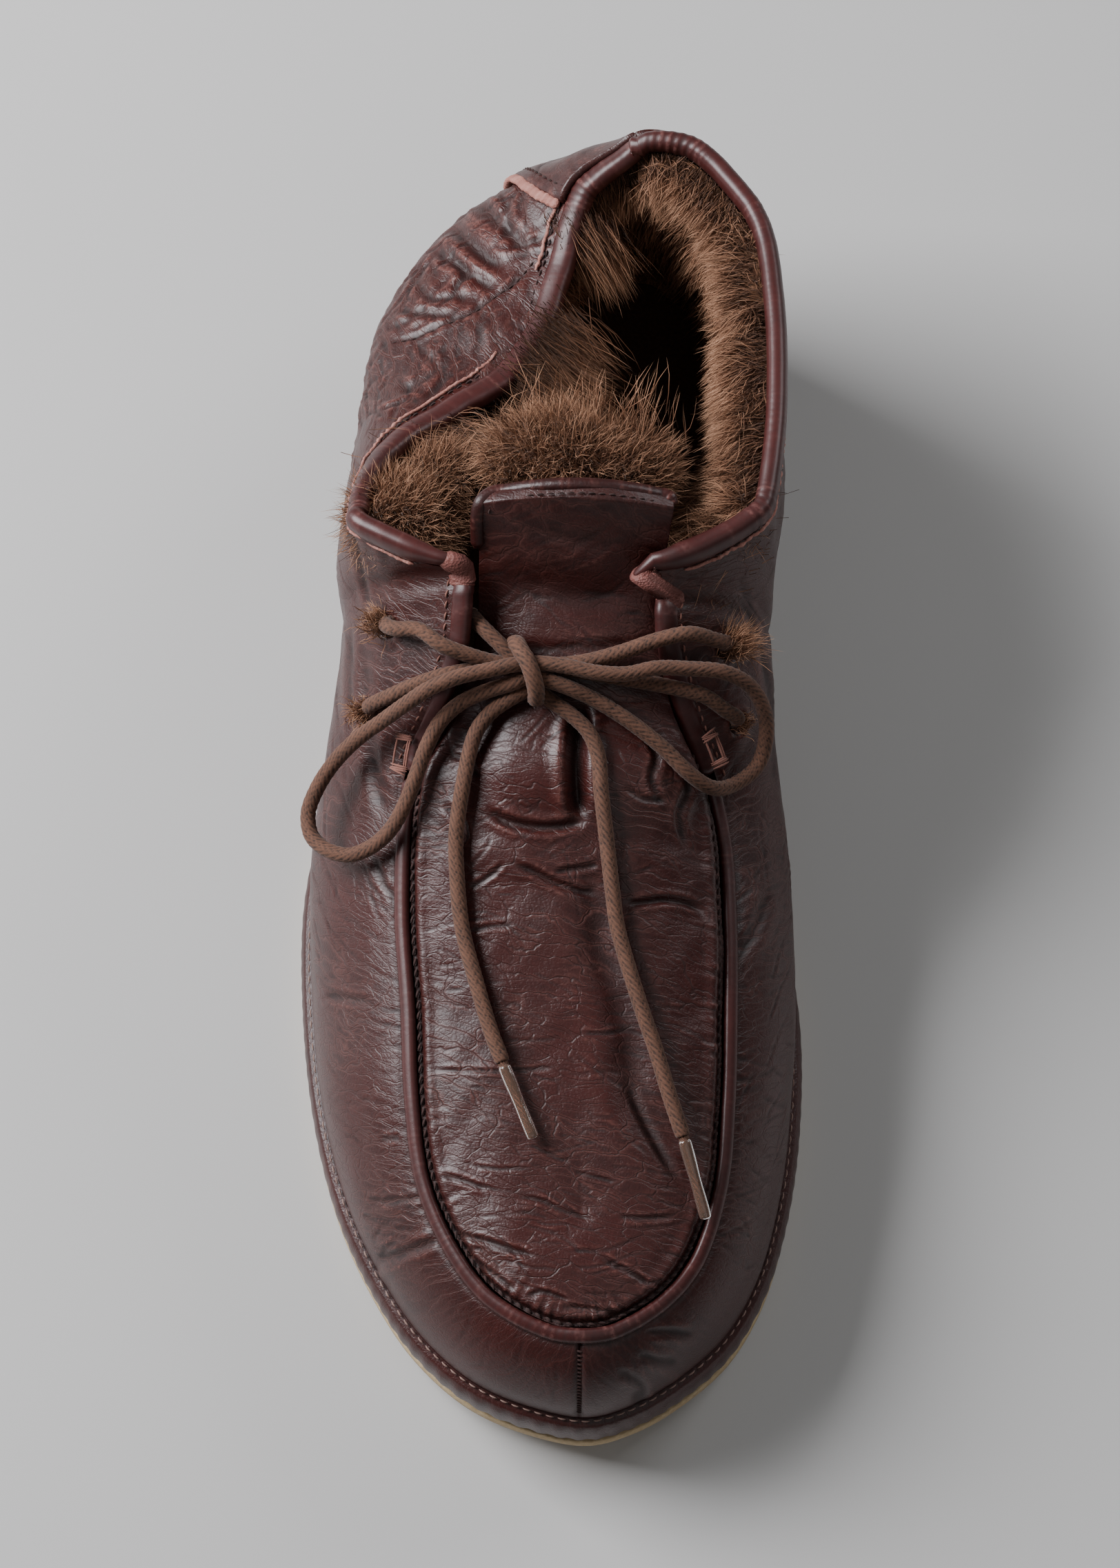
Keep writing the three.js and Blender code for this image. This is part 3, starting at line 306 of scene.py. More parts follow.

# %% [markdown]
# A braided cord shows pairs of strands that pass over each other in short slanted steps. Two
# families of spirals run round the cord, one to the left and one to the right, and a strand is on
# top for two steps and under for two. That is a herringbone. The strands are real relief here, so
# the outline of the cord is knobbly too. The material adds the fluff on them, and a painted
# highlight that makes each strand paler where it stands highest.

# %% Shader helpers
def place(tree, kind, values=None, **settings):
    """Adds a node, sets its settings, and links or sets its inputs."""
    node = tree.nodes.new(kind)
    for key, value in settings.items():
        setattr(node, key, value)
    for key, value in (values or {}).items():
        if isinstance(value, bpy.types.NodeSocket):
            tree.links.new(value, node.inputs[key])
        else:
            node.inputs[key].default_value = value
    return node


def math_of(tree, operation, *values, clamp=False):
    node = place(tree, "ShaderNodeMath", dict(enumerate(values)), operation=operation, use_clamp=clamp)
    return node.outputs[0]


def remap(tree, value, low, high, to_low=0.0, to_high=1.0):
    values = {"Value": value, "From Min": low, "From Max": high, "To Min": to_low, "To Max": to_high}
    return place(tree, "ShaderNodeMapRange", values, clamp=True).outputs["Result"]


def blend_colours(tree, share, first, second, kind="MIX"):
    node = tree.nodes.new("ShaderNodeMix")
    node.data_type = "RGBA"
    node.blend_type = kind
    for index, value in ((0, share), (6, first), (7, second)):
        if isinstance(value, bpy.types.NodeSocket):
            tree.links.new(value, node.inputs[index])
        else:
            node.inputs[index].default_value = value
    return node.outputs[2]


def group_of(name, inputs, outputs):
    """A shader group with named number or colour sockets, and its two end nodes."""
    kinds = {"number": "NodeSocketFloat", "colour": "NodeSocketColor", "vector": "NodeSocketVector"}
    tree = bpy.data.node_groups.new(name, "ShaderNodeTree")
    for key, kind in inputs.items():
        tree.interface.new_socket(name=key, in_out="INPUT", socket_type=kinds[kind])
    for key, kind in outputs.items():
        tree.interface.new_socket(name=key, in_out="OUTPUT", socket_type=kinds[kind])
    return tree, tree.nodes.new("NodeGroupInput").outputs, tree.nodes.new("NodeGroupOutput").inputs


def material_of(name, **plain):
    """A material with its Principled shader; plain inputs are set on the shader's own sockets."""
    material = bpy.data.materials.new(name)
    material.use_nodes = True
    tree = material.node_tree
    shader = tree.nodes["Principled BSDF"]
    for key, value in plain.items():
        shader.inputs[key.replace("_", " ")].default_value = value
    return material, tree, shader


def noise(tree, at, scale, detail=2.0):
    return place(tree, "ShaderNodeTexNoise", {"Vector": at, "Scale": scale, "Detail": detail})


def bumped(tree, shader, height, strength, deep):
    """Tilts a shader's normal by a height; deep is in millimetres."""
    values = {"Height": height, "Strength": strength, "Distance": deep * MM}
    tree.links.new(place(tree, "ShaderNodeBump", values).outputs[0], shader.inputs["Normal"])


def colour(red, green, blue):
    """Linear colour from the 0-255 values that an eye-dropper shows."""
    def linear(v):
        v = v / 255
        return v / 12.92 if v <= 0.04045 else ((v + 0.055) / 1.055) ** 2.4
    return (linear(red), linear(green), linear(blue), 1.0)


def attribute(tree, name):
    return place(tree, "ShaderNodeAttribute", attribute_name=name).outputs["Fac"]


def object_place(tree):
    """The point's own place in the shoe, in millimetres."""
    at = place(tree, "ShaderNodeTexCoord").outputs["Object"]
    return place(tree, "ShaderNodeVectorMath", {0: at, 3: 1 / MM}, operation="SCALE").outputs[0]


# %% Shared effect: spun fibre
# Short fibres with a tone that drifts, for cord and thread; Top pales the fibre, on the cord a painted
# highlight on the raised strands
fibre, fibre_in, fibre_out = group_of(
    "spun fibre",
    {"Place": "vector", "Dark": "colour", "Pale": "colour", "Top": "number"},
    {"Colour": "colour", "Height": "number"},
)
drift = noise(fibre, fibre_in["Place"], 0.35, 3.0)
fluff = noise(fibre, fibre_in["Place"], 5.0, 4.0)
tone = math_of(fibre, "ADD", math_of(fibre, "MULTIPLY", drift.outputs[0], 0.5), fibre_in["Top"])
tone = math_of(fibre, "ADD", tone, math_of(fibre, "MULTIPLY", fluff.outputs[0], 0.55))
tone = math_of(fibre, "SUBTRACT", tone, 0.52, clamp=True)
fibre.links.new(blend_colours(fibre, tone, fibre_in["Dark"], fibre_in["Pale"]), fibre_out["Colour"])
fibre.links.new(fluff.outputs[0], fibre_out["Height"])
print("group:", fibre.name)


# %% Cord and thread materials
def thread_material(name, dark, pale, top=None):
    material, tree, shader = material_of(name, Roughness=0.85, Sheen_Weight=0.08, Sheen_Roughness=0.5)
    node = place(tree, "ShaderNodeGroup", node_tree=fibre)
    tree.links.new(object_place(tree), node.inputs["Place"])
    node.inputs["Dark"].default_value = dark
    node.inputs["Pale"].default_value = pale
    # On the cord, the attribute read here pales each strand where it stands highest, a painted highlight
    if top:
        tree.links.new(attribute(tree, top), node.inputs["Top"])
    else:
        node.inputs["Top"].default_value = 0.3
    bumped(tree, shader, node.outputs["Height"], 0.35, 0.2)
    tree.links.new(node.outputs["Colour"], shader.inputs["Base Color"])
    return material


cord_brown = thread_material("cord brown", colour(28, 16, 11), colour(116, 77, 58), top="strand")
thread_dark = thread_material("thread dark", colour(28, 14, 12), colour(80, 44, 38))
thread_pale = thread_material("thread pale", colour(104, 76, 68), colour(184, 156, 144))
thread_pink = thread_material("thread pink", colour(96, 56, 48), colour(178, 124, 108))

# %% Braided cord
STRANDS = 9
STRAND_STEP = 1.75
STRAND_RELIEF = 0.27
CORD_SIDES = 26
CORD_STEP = 0.45


def braid(run, angle):
    """Height of the top strand between 0 and 1, over a run along the cord and an angle round it."""
    left = STRANDS * angle / (2 * math.pi) + run / STRAND_STEP
    right = STRANDS * angle / (2 * math.pi) - run / STRAND_STEP
    left_on_top = (np.floor(left) + np.floor(right)) % 4 < 2
    across = np.where(left_on_top, left, right) % 1
    return 1 - (2 * np.abs(across - 0.5)) ** 2.2


def cord_heap(heap, points, radius=LACE / 2, taper=0.0):
    line = even_line(smooth_line(points), CORD_STEP)
    run = run_of(line)
    height = braid(run[:, None], around(CORD_SIDES)[None, :])
    ends = np.clip(np.minimum(run, run[-1] - run) / 1.2, 0, 1)[:, None]
    size = radius * (1 - taper * (1 - ends)) + STRAND_RELIEF * (height - 1)
    heap.add(tube(line, size, CORD_SIDES), tube_faces(len(line), CORD_SIDES), strand=height * 0.75)
    return line


def lace_cord(name, points, node):
    heap = Heap()
    line = cord_heap(heap, points, taper=0.1)
    obj = made(name, heap, cord_brown, [node])
    return obj


# %% Lace tips
# The clear sleeve is glassy plastic over the cord's narrowed end
clear, clear_tree, clear_shader = material_of(
    "clear sleeve", Base_Color=colour(176, 146, 128), Roughness=0.14, Transmission_Weight=0.85, IOR=1.4,
    Coat_Weight=0.4, Coat_Roughness=0.08,
)
crimp = noise(clear_tree, object_place(clear_tree), 0.8)
bumped(clear_tree, clear_shader, crimp.outputs[0], 0.3, 0.2)


def lace_tip(name, points, node):
    core = Heap()
    ends = np.array(points, float)
    inner = ends[0] + (ends[1] - ends[0]) * np.array([[-0.05], [0.25], [0.6], [0.93]])
    cord_heap(core, inner, radius=AGLET - 0.25)
    core_piece = made(name + "_core", core, cord_brown)
    sleeve = Heap()
    line = even_line(ends, 0.5)
    run = run_of(line) / run_of(line)[-1]
    size = AGLET * (1 - 0.12 * run + 0.05 * np.sin(run * 9)) * np.clip(np.minimum(run, 1 - run) * 40, 0.82, 1)
    sleeve.add(tube(line, size, 20, flat=0.86), tube_faces(len(line), 20))
    return [core_piece, made(name, sleeve, clear, [node])]


tip_lateral = lace_tip("lace_tip_lateral", AGLET_LATERAL, "aglet_lateral")
tip_medial = lace_tip("lace_tip_medial", AGLET_MEDIAL, "aglet_medial")

# %% The bow
knot = Heap()
cord_heap(knot, KNOT, radius=LACE / 2 + 0.2)
knot_piece = made("bow_knot", knot, cord_brown, ["lace_knot"])
lace_cord("bow_loop_lateral", LOOP_LATERAL, "lace_loop_lateral")
lace_cord("bow_loop_medial", LOOP_MEDIAL, "lace_loop_medial")
lace_cord("bow_end_lateral", END_LATERAL, "lace_end_lateral")
lace_cord("bow_end_medial", END_MEDIAL, "lace_end_medial")
bars = Heap()
for points in LACE_RUNS + [LACE_UNDER]:
    cord_heap(bars, points)
made("lace_through_eyelets", bars, cord_brown, ["lace_bars"])

# %% [markdown]
# The upper is drawn over a last, so its surface is written as a last maker would: an outline of
# the sole, a spine over the foot, and for every place on the outline a section that sweeps from
# the one to the other. The tables hold shares of a few real sizes. With this one function a seam,
# a crease or a hair can be put anywhere on the shoe by two numbers: how far round, and how far up.

# %% Sizes and tables of the last
SOLE_LENGTH = 281
BALL_WIDTH = 109
HEEL_BACK = 36
INSTEP_HEIGHT = 100
COLLAR_HEIGHT = 84
OUTSOLE = 4.5
PLATFORM = 12
TOE_SPRING = 8
ARCH_LIFT = 1.5
WALL = 3
APRON = 2.4
FEATHER_INSET = 1.8
PIPING = 1.3
FUR_DEEP = 12
FUR_THIN = 6
GAP = 0.3
SECTION_POWER = 2.3
SPINE_SHORT = 40
SLUMP = 31
SIDE_BULGE = 11

OUTLINE = {
    "at": [0.018, 0.05, 0.1, 0.164, 0.253, 0.342, 0.431, 0.502, 0.573, 0.662, 0.751, 0.822, 0.883,
           0.932, 0.97, 0.99],
    "lateral": [0.156, 0.257, 0.326, 0.353, 0.376, 0.413, 0.463, 0.514, 0.544, 0.538, 0.506, 0.454,
                0.379, 0.294, 0.187, 0.078],
    "medial": [0.174, 0.266, 0.326, 0.344, 0.339, 0.33, 0.344, 0.376, 0.422, 0.462, 0.464, 0.442,
               0.399, 0.33, 0.226, 0.142],
}
HEEL_SIDE = 0.01
TOE_SIDE = 0.055
SPINE = {
    "at": [0.142, 0.235, 0.288, 0.327, 0.363, 0.384, 0.391, 0.413, 0.448, 0.484, 0.52, 0.555, 0.626,
           0.698, 0.769, 0.829, 0.858],
    "side": [-0.02, -0.02, -0.025, -0.027, -0.028, -0.028, -0.028, -0.027, -0.026, -0.025, -0.022,
             -0.018, -0.008, 0.006, 0.016, 0.03, 0.035],
    "height": [3.2, 3.0, 2.4, 1.9, 1.43, 1.15, 1.07, 1.015, 0.94, 0.865, 0.795, 0.742, 0.675, 0.625,
               0.582, 0.547, 0.53],
}
THROAT = {
    "at": [0.391, 0.42, 0.45, 0.492, 0.523, 0.56, 0.63, 0.7, 0.77, 0.832, 0.884, 0.92, 0.9435,
           0.9465, 0.942, 0.918, 0.886, 0.826, 0.765, 0.7, 0.63, 0.565, 0.52, 0.49, 0.45, 0.42,
           0.397],
    "side": [-0.222, -0.222, -0.228, -0.268, -0.311, -0.327, -0.329, -0.312, -0.299, -0.272, -0.21,
             -0.135, -0.023, 0.05, 0.104, 0.196, 0.258, 0.302, 0.313, 0.314, 0.31, 0.296, 0.264, 0.218,
             0.178, 0.166, 0.172],
}
COLLAR = {
    "at": [0, 0.04, 0.1, 0.175, 0.24, 0.306, 0.356, 0.397],
    "up": [0.105, 0.105, 0.21, 0.3675, 0.49875, 0.63, 0.84, 0.9975],
}
CROWN = {
    "at": [0.361, 0.377, 0.413, 0.448, 0.484, 0.52, 0.56],
    "height": [1.09, 1.02, 0.89, 0.842, 0.797, 0.76, 0.73],
    "half": [0.189, 0.184, 0.176, 0.184, 0.214, 0.256, 0.282],
    "side": [-0.008, -0.012, -0.019, -0.022, -0.025, -0.022, -0.018],
}
BULGE = {
    "at": [0, 0.05, 0.1, 0.164, 0.22, 0.3, 0.38, 0.45, 0.52, 0.6, 0.7, 0.8],
    "lateral": [0.45, 0.62, 0.82, 1.04, 1.16, 1.06, 0.92, 0.62, 0.36, 0.1, 0, 0],
    "medial": [0.4, 0.42, 0.56, 0.66, 0.76, 0.86, 0.92, 0.88, 0.7, 0.42, 0.12, 0],
}
SLUMPED = {
    "at": [-0.213, -0.2, -0.18, -0.16, -0.06, -0.03, -0.01, 0.012, 0.03, 0.045, 0.06, 0.075, 0.09, 0.105,
           0.12, 0.14, 0.16, 0.175, 0.19, 0.2, 0.213],
    "inwards": [0, 0, 0, 0, 0, 0.1, 0.2, 0.42, 0.52, 0.7, 0.9, 0.99, 0.88, 0.58, 0.33, 0.15, 0.07, 0.05, 0.03,
                0.02, 0],
    "forwards": [0, 0.09, 0.05, 0, 0, 0.02, 0.09, 0.18, 0.24, 0.34, 0.45, 0.55, 0.6, 0.6, 0.54, 0.44, 0.34,
                 0.27, 0.17, 0.12, 0],
    "down": [0, 0.09, 0.05, 0, 0, 0.03, 0.06, 0.16, 0.28, 0.4, 0.47, 0.5, 0.5, 0.46, 0.39, 0.31, 0.22, 0.18,
             0.13, 0.11, 0],
}


# %% Smooth columns, outline and ground
def column(table, name):
    """Smooth curve through a column of a table, level beyond its ends."""
    x, y = np.array(table["at"], float), np.array(table[name], float)
    secant = np.diff(y) / np.diff(x)
    before, after = secant[:-1], secant[1:]
    total = np.where(before + after == 0, 1, before + after)
    inside = np.where(before * after > 0, 2 * before * after / total, 0)
    slope = np.concatenate([secant[:1], inside, secant[-1:]])

    def at(station):
        s = np.clip(station, x[0], x[-1])
        i = np.clip(np.searchsorted(x, s, side="right") - 1, 0, len(x) - 2)
        span = x[i + 1] - x[i]
        t = (s - x[i]) / span
        rise = y[i + 1] - y[i]
        a, b = slope[i] * span, slope[i + 1] * span
        return y[i] + t * (a + t * (3 * rise - 2 * a - b + t * (a + b - 2 * rise)))

    return at


def mix(a, b, t):
    return a + (b - a) * t


def ease(value, low, high):
    t = np.clip((value - low) / (high - low), 0, 1)
    return t * t * (3 - 2 * t)


def bell(at, centre, width):
    return np.exp(-(((at - centre) / width) ** 2))


def station_of(y):
    return (HEEL_BACK - y) / SOLE_LENGTH


def length_at(station):
    return HEEL_BACK - np.asarray(station) * SOLE_LENGTH


lateral_side = np.stack([-np.array(OUTLINE["lateral"]) * BALL_WIDTH, length_at(OUTLINE["at"])], 1)
medial_side = np.stack([np.array(OUTLINE["medial"]) * BALL_WIDTH, length_at(OUTLINE["at"])], 1)
outline = smooth_line(
    np.vstack([
        [[HEEL_SIDE * BALL_WIDTH, HEEL_BACK]], lateral_side,
        [[TOE_SIDE * BALL_WIDTH, length_at(1)]], medial_side[::-1],
    ]),
    closed=True,
)
outline_run = run_of(outline)
OUTLINE_LENGTH = outline_run[-1]
print("round the sole:", round(OUTLINE_LENGTH), "mm")


def rim(share, outwards=0.0):
    """Point of the outline in plan at a share of its way round, moved outwards."""
    share = np.asarray(share, float)

    def at(s):
        s = np.mod(s, 1) * OUTLINE_LENGTH
        return np.stack([np.interp(s, outline_run, outline[:, k]) for k in (0, 1)], -1)

    along = unit(at(share + 0.0008) - at(share - 0.0008))
    across = np.stack([along[..., 1], -along[..., 0]], -1)
    return at(share) + across * np.asarray(outwards, float)[..., None]


def ground(y):
    at = station_of(y)
    arch = np.clip((at - 0.26) / 0.24, 0, 1)
    toe = np.maximum(0, (at - 0.8) / 0.2)
    return ARCH_LIFT * np.sin(math.pi * arch) ** 2 + TOE_SPRING * toe**1.8


def feather(y):
    """Height at which the upper meets the platform."""
    return ground(y) + OUTSOLE + GAP + PLATFORM + GAP


# %% Spine, throat and one section for every place round the outline
spine_side, spine_height = column(SPINE, "side"), column(SPINE, "height")
collar_up = column(COLLAR, "up")
crown = {name: column(CROWN, name) for name in ("height", "half", "side")}
bulge = {name: column(BULGE, name) for name in ("lateral", "medial")}
slumped = {name: column(SLUMPED, name) for name in ("inwards", "forwards", "down")}
MIDDLE = HEEL_BACK - SOLE_LENGTH / 2
EDGE_BACK = PIPING + GAP * 1.6
THROAT_STEPS = 240
HALVINGS = 40
HALVINGS_OVER = 22
SHARE_STEP = 0.0015
UP_STEP = 0.012


def spine_of(base):
    v = (base[..., 1] - MIDDLE) / (SOLE_LENGTH / 2)
    y = MIDDLE + (SOLE_LENGTH / 2 - SPINE_SHORT) * (1.5 * v - 0.5 * v**3)
    at = station_of(y)
    return np.stack([spine_side(at) * BALL_WIDTH, y, spine_height(at) * INSTEP_HEIGHT], -1)


throat_points = np.stack([np.array(THROAT["side"]) * BALL_WIDTH, length_at(THROAT["at"])], 1)
throat = smooth_line(throat_points)
throat = even_line(throat, run_of(throat)[-1] / THROAT_STEPS)
throat_way = unit(np.gradient(throat, axis=0))
throat_out = np.stack([throat_way[:, 1], -throat_way[:, 0]], 1)
throat_edge = throat + throat_out * EDGE_BACK


def crossing_of(base, spine):
    """Share of the way from base to spine where a section first meets the throat's edge."""
    run = (spine[:, :2] - base)[:, None]
    a, b = throat_edge[None, :-1], throat_edge[None, 1:]
    d = a - b
    det = run[..., 0] * d[..., 1] - run[..., 1] * d[..., 0]
    det = np.where(np.abs(det) < 1e-9, 1e-9, det)
    gap = a - base[:, None]
    along = (gap[..., 0] * d[..., 1] - gap[..., 1] * d[..., 0]) / det
    on = (run[..., 0] * gap[..., 1] - run[..., 1] * gap[..., 0]) / det
    good = (on >= 0) & (on <= 1) & (along >= 0) & (along <= 1)
    return np.where(good, along, np.inf).min(axis=1)


def beside(share, x, y):
    """Above or below nought, as a place in plan lies on one or the other side of a section."""
    base = rim(share, -FEATHER_INSET)
    run = spine_of(base)[..., :2] - base
    return run[..., 0] * (y - base[..., 1]) - run[..., 1] * (x - base[..., 0])


def corner_share(corner, low, high):
    """Where on the outline the section through a corner of the throat starts."""
    x, y = corner
    rising = beside(high, x, y) > beside(low, x, y)
    for _ in range(HALVINGS):
        middle = (low + high) / 2
        if (beside(middle, x, y) > 0) == rising:
            high = middle
        else:
            low = middle
    return (low + high) / 2


CORNER_LATERAL = corner_share(throat_edge[0], 0.08, 0.3)
CORNER_MEDIAL = corner_share(throat_edge[-1], 0.7, 0.92)

LAST_STEPS = 3600
last_share = np.arange(LAST_STEPS + 1) / LAST_STEPS
last_base = rim(last_share, -FEATHER_INSET)
last_spine = spine_of(last_base)
last_station = station_of(last_base[:, 1])
last_foot = feather(last_base[:, 1])
front = (last_share > CORNER_LATERAL) & (last_share < CORNER_MEDIAL)
crossing = crossing_of(last_base, last_spine)
collar_top = mix(COLLAR_HEIGHT, INSTEP_HEIGHT, collar_up(last_station))
collar_share = (collar_top - last_foot) / (last_spine[:, 2] - last_foot)
last_sweep = np.where(
    front & np.isfinite(crossing),
    np.arccos(np.clip(1 - np.where(np.isfinite(crossing), crossing, 0), 0, 1) ** (SECTION_POWER / 2)),
    np.arcsin(np.clip(collar_share, 0, 1) ** (SECTION_POWER / 2)),
)
last_out = rim(last_share, 1) - rim(last_share, 0)
last_side = np.where(last_out[:, 0] < 0, bulge["lateral"](last_station), bulge["medial"](last_station))
signed = np.where(last_share > 0.5, last_share - 1, last_share)
last_slump = np.stack(
    [slumped["inwards"](signed), -slumped["forwards"](signed), -slumped["down"](signed)], 1
) * SLUMP
LAST = np.column_stack([
    last_base, last_foot, last_spine, last_sweep, last_out, last_station, last_slump,
    last_side * SIDE_BULGE,
])
print("throat corners at", round(CORNER_LATERAL, 3), "and", round(CORNER_MEDIAL, 3))


def face(share, up):
    """Points of the upper's outer face. share is (n), up is (m) or (n, m); returns (n, m, 3)."""
    share = np.mod(np.atleast_1d(np.asarray(share, float)), 1)
    up = np.atleast_1d(np.asarray(up, float))
    if up.ndim == 1:
        up = np.broadcast_to(up, (len(share), len(up)))
    row = np.stack([np.interp(share, last_share, LAST[:, k]) for k in range(LAST.shape[1])], -1)
    bx, by, foot, sx, sy, sz, sweep, ox, oy, station, ax, ay, az, push = row.T[:, :, None]
    angle = np.maximum(0, up) * sweep
    inwards = 1 - np.maximum(0, np.cos(angle)) ** (2 / SECTION_POWER)
    rise = np.sin(angle) ** (2 / SECTION_POWER)
    open_collar = (1 - ease(station, 0.34, 0.395)) * mix(0.5, 1, ease(station, 0, 0.09))
    closed = np.sin(math.pi * np.minimum(1, up))
    opened = np.sin((math.pi / 2) * np.minimum(1, up / 0.55))
    push = push * mix(closed, opened, open_collar)
    lean = np.maximum(0, (up - 0.46) / 0.54) ** 1.3
    x = mix(bx, sx, inwards) + ox * push + ax * lean
    y = mix(by, sy, inwards) + oy * push + ay * lean
    z = mix(foot, sz, rise) + az * lean
    return np.stack([x, y, z], -1)


def normal(share, up):
    """Outward normal of that face, of the same shape."""
    share = np.atleast_1d(np.asarray(share, float))
    up = np.atleast_1d(np.asarray(up, float))
    if up.ndim == 1:
        up = np.broadcast_to(up, (len(share), len(up)))
    low = np.maximum(0.02, up - UP_STEP)
    high = np.maximum(low + UP_STEP, np.minimum(1, up + UP_STEP))
    rise = face(share, high) - face(share, low)
    sideways = face(share + SHARE_STEP, up) - face(share - SHARE_STEP, up)
    return -unit(np.cross(rise, sideways))


def under(share, up, depth):
    return face(share, up) - normal(share, up) * depth


# %% [markdown]
# Leather folds where it has been bent, and a real crease is never a plain groove: the skin dips,
# and swells beside the dip. Each main crease here is a line given in the shoe's own
# millimetres, with its depth and width. Between them lie many short, shallow ones, drawn by a loop
# with a fixed seed along the way the leather stretches. Both push the mesh, and both are kept in
# the attribute "fold", which the colour reads to paint shade into the troughs, and a paler crest
# on the shoulders that is partly rubbed and partly a painted highlight.

# %% Creases
def press(relief, fold, at, line, depth, width, shoulder=0.45, long_ends=0.2):
    """Presses a trough with soft shoulders into a relief along a line in the same chart."""
    line = smooth_line(line, per_span=5)
    reach = 4 * width
    inside = np.all((at > line.min(0) - reach) & (at < line.max(0) + reach), axis=1)
    near = np.nonzero(inside)[0]
    if not near.size:
        return
    p = at[near]
    best = np.full(near.size, np.inf)
    along = np.zeros(near.size)
    run = run_of(line)
    for i in range(len(line) - 1):
        a, b = line[i], line[i + 1]
        ab = b - a
        t = np.clip(((p - a) @ ab) / max(ab @ ab, 1e-9), 0, 1)
        d = np.linalg.norm(p - a - t[:, None] * ab, axis=1)
        closer = d < best
        best = np.where(closer, d, best)
        along = np.where(closer, (run[i] + t * (run[i + 1] - run[i])) / run[-1], along)
    ends = ease(np.minimum(along, 1 - along), 0, long_ends)
    trough = bell(best, 0, width)
    swell = shoulder * bell(best, 1.9 * width, 1.1 * width)
    relief[near] += depth * ends * (swell - trough)
    # fold paints shade in the trough, and a paler crest on the shoulders, partly rubbed and partly a painted
    # highlight
    fold[near] += min(1.0, depth / (0.55 * width)) * ends * (0.6 * swell - trough)


ANY_PHASE = 6.3
WANDER_STEPS = 4
RIPPLE_WAVES = 7


def wander(rng, start, heading, length, bend):
    """A short line that drifts like a crease in skin."""
    points = [np.array(start, float)]
    for _ in range(WANDER_STEPS):
        heading = heading + rng.normal(0, bend)
        way = np.array([math.cos(heading), math.sin(heading)])
        points.append(points[-1] + way * length / WANDER_STEPS)
    return np.array(points)


def ripple(points, size, seed):
    """Gentle undulation between about -1 and 1 with features of one size."""
    rng = np.random.default_rng(seed)
    total = np.zeros(points.shape[:-1])
    for _ in range(RIPPLE_WAVES):
        way = unit(rng.normal(size=points.shape[-1]))
        wave = points @ way * (2 * math.pi / size) * rng.uniform(0.6, 1.4)
        total += np.sin(wave + rng.uniform(0, ANY_PHASE))
    return total / math.sqrt(RIPPLE_WAVES)


# Creases of the vamp: depth, width, line in plan
VAMP_CREASES = [
    (0.45, 0.7, [(-54, -153), (-47, -157), (-42, -159)]),
    (0.3, 0.6, [(-44, -126), (-39, -137), (-35, -143)]),
    (0.3, 0.5, [(-40, -188), (-35, -188)]),
    (0.7, 0.9, [(-41, -209), (-36, -211), (-32, -211), (-26, -210)]),
    (0.35, 0.6, [(-40, -200), (-32, -201), (-28, -200)]),
    (0.45, 0.7, [(17, -229), (22, -228), (29, -227)]),
    (0.4, 0.7, [(16, -233), (22, -233), (26, -232)]),
    (0.35, 0.7, [(12, -236), (18, -238), (15, -240)]),
    (0.5, 1.2, [(35, -148), (39, -142), (43, -130)]),
    (0.5, 1.3, [(-47, -84), (-45, -98), (-43, -112), (-40, -122)]),
    (0.35, 0.8, [(-50, -78), (-49, -92), (-48, -104)]),
    (0.3, 0.6, [(-50, -62), (-47, -70), (-45, -79)]),
    (0.3, 0.6, [(-47, -60), (-43, -68), (-40, -74)]),
    (0.45, 1.1, [(40, -82), (43, -94), (44, -108)]),
    (0.35, 0.8, [(34, -72), (38, -78), (42, -88)]),
]
# Creases of the slumped heel: depth, width, line in plan
HEEL_CREASES = [
    (0.9, 0.7, [(-44, -9), (-38, -9), (-32, -7), (-25, -4), (-20, 0), (-16, 3), (-12, 8)]),
    (1.3, 1.7, [(-32, 24), (-26, 15), (-22, 10), (-18, 7)]),
    (1.2, 1.6, [(-26, 31), (-21, 21), (-17, 16), (-14, 10)]),
    (1.0, 1.4, [(-36, 18), (-29, 10), (-23, 4), (-19, 0)]),
    (0.8, 1.2, [(-42, 0), (-35, -3), (-28, -5)]),
    (0.6, 0.9, [(-38, -9), (-34, -16), (-31, -20)]),
    (0.6, 0.8, [(-25, -6), (-23, -12), (-24, -16)]),
    (0.7, 1.1, [(-38, 8), (-34, 1), (-29, 1), (-25, -2)]),
    (0.7, 1.0, [(-21, 31), (-18, 21), (-19, 14)]),
    (0.6, 1.0, [(-31, 12), (-27, 8), (-29, 3), (-26, 0)]),
    (0.5, 1.2, [(-49, -20), (-43, -25), (-36, -22), (-30, -18)]),
]


# %% [markdown]
# Finished leather has three scales of surface: pores and pebbles finer than a millimetre, a net
# of hairline cracks where it flexes, and the polish that lies over both. All of it is one shared
# effect. The cracks follow two numbers that every leather mesh carries in millimetres: "with", the
# way the cracks run, and "cross", the way they are spaced.

# %% Shared effect: leather grain
grain, grain_in, grain_out = group_of(
    "leather grain",
    {"Place": "vector", "With": "number", "Cross": "number", "Flexed": "number", "Pebble": "number"},
    {"Height": "number", "Lines": "number", "Lips": "number"},
)
drift = noise(grain, grain_in["Place"], 0.09, 3.0)
pull = place(grain, "ShaderNodeVectorMath", {0: drift.outputs["Color"], 3: 2.2}, operation="SCALE").outputs[0]


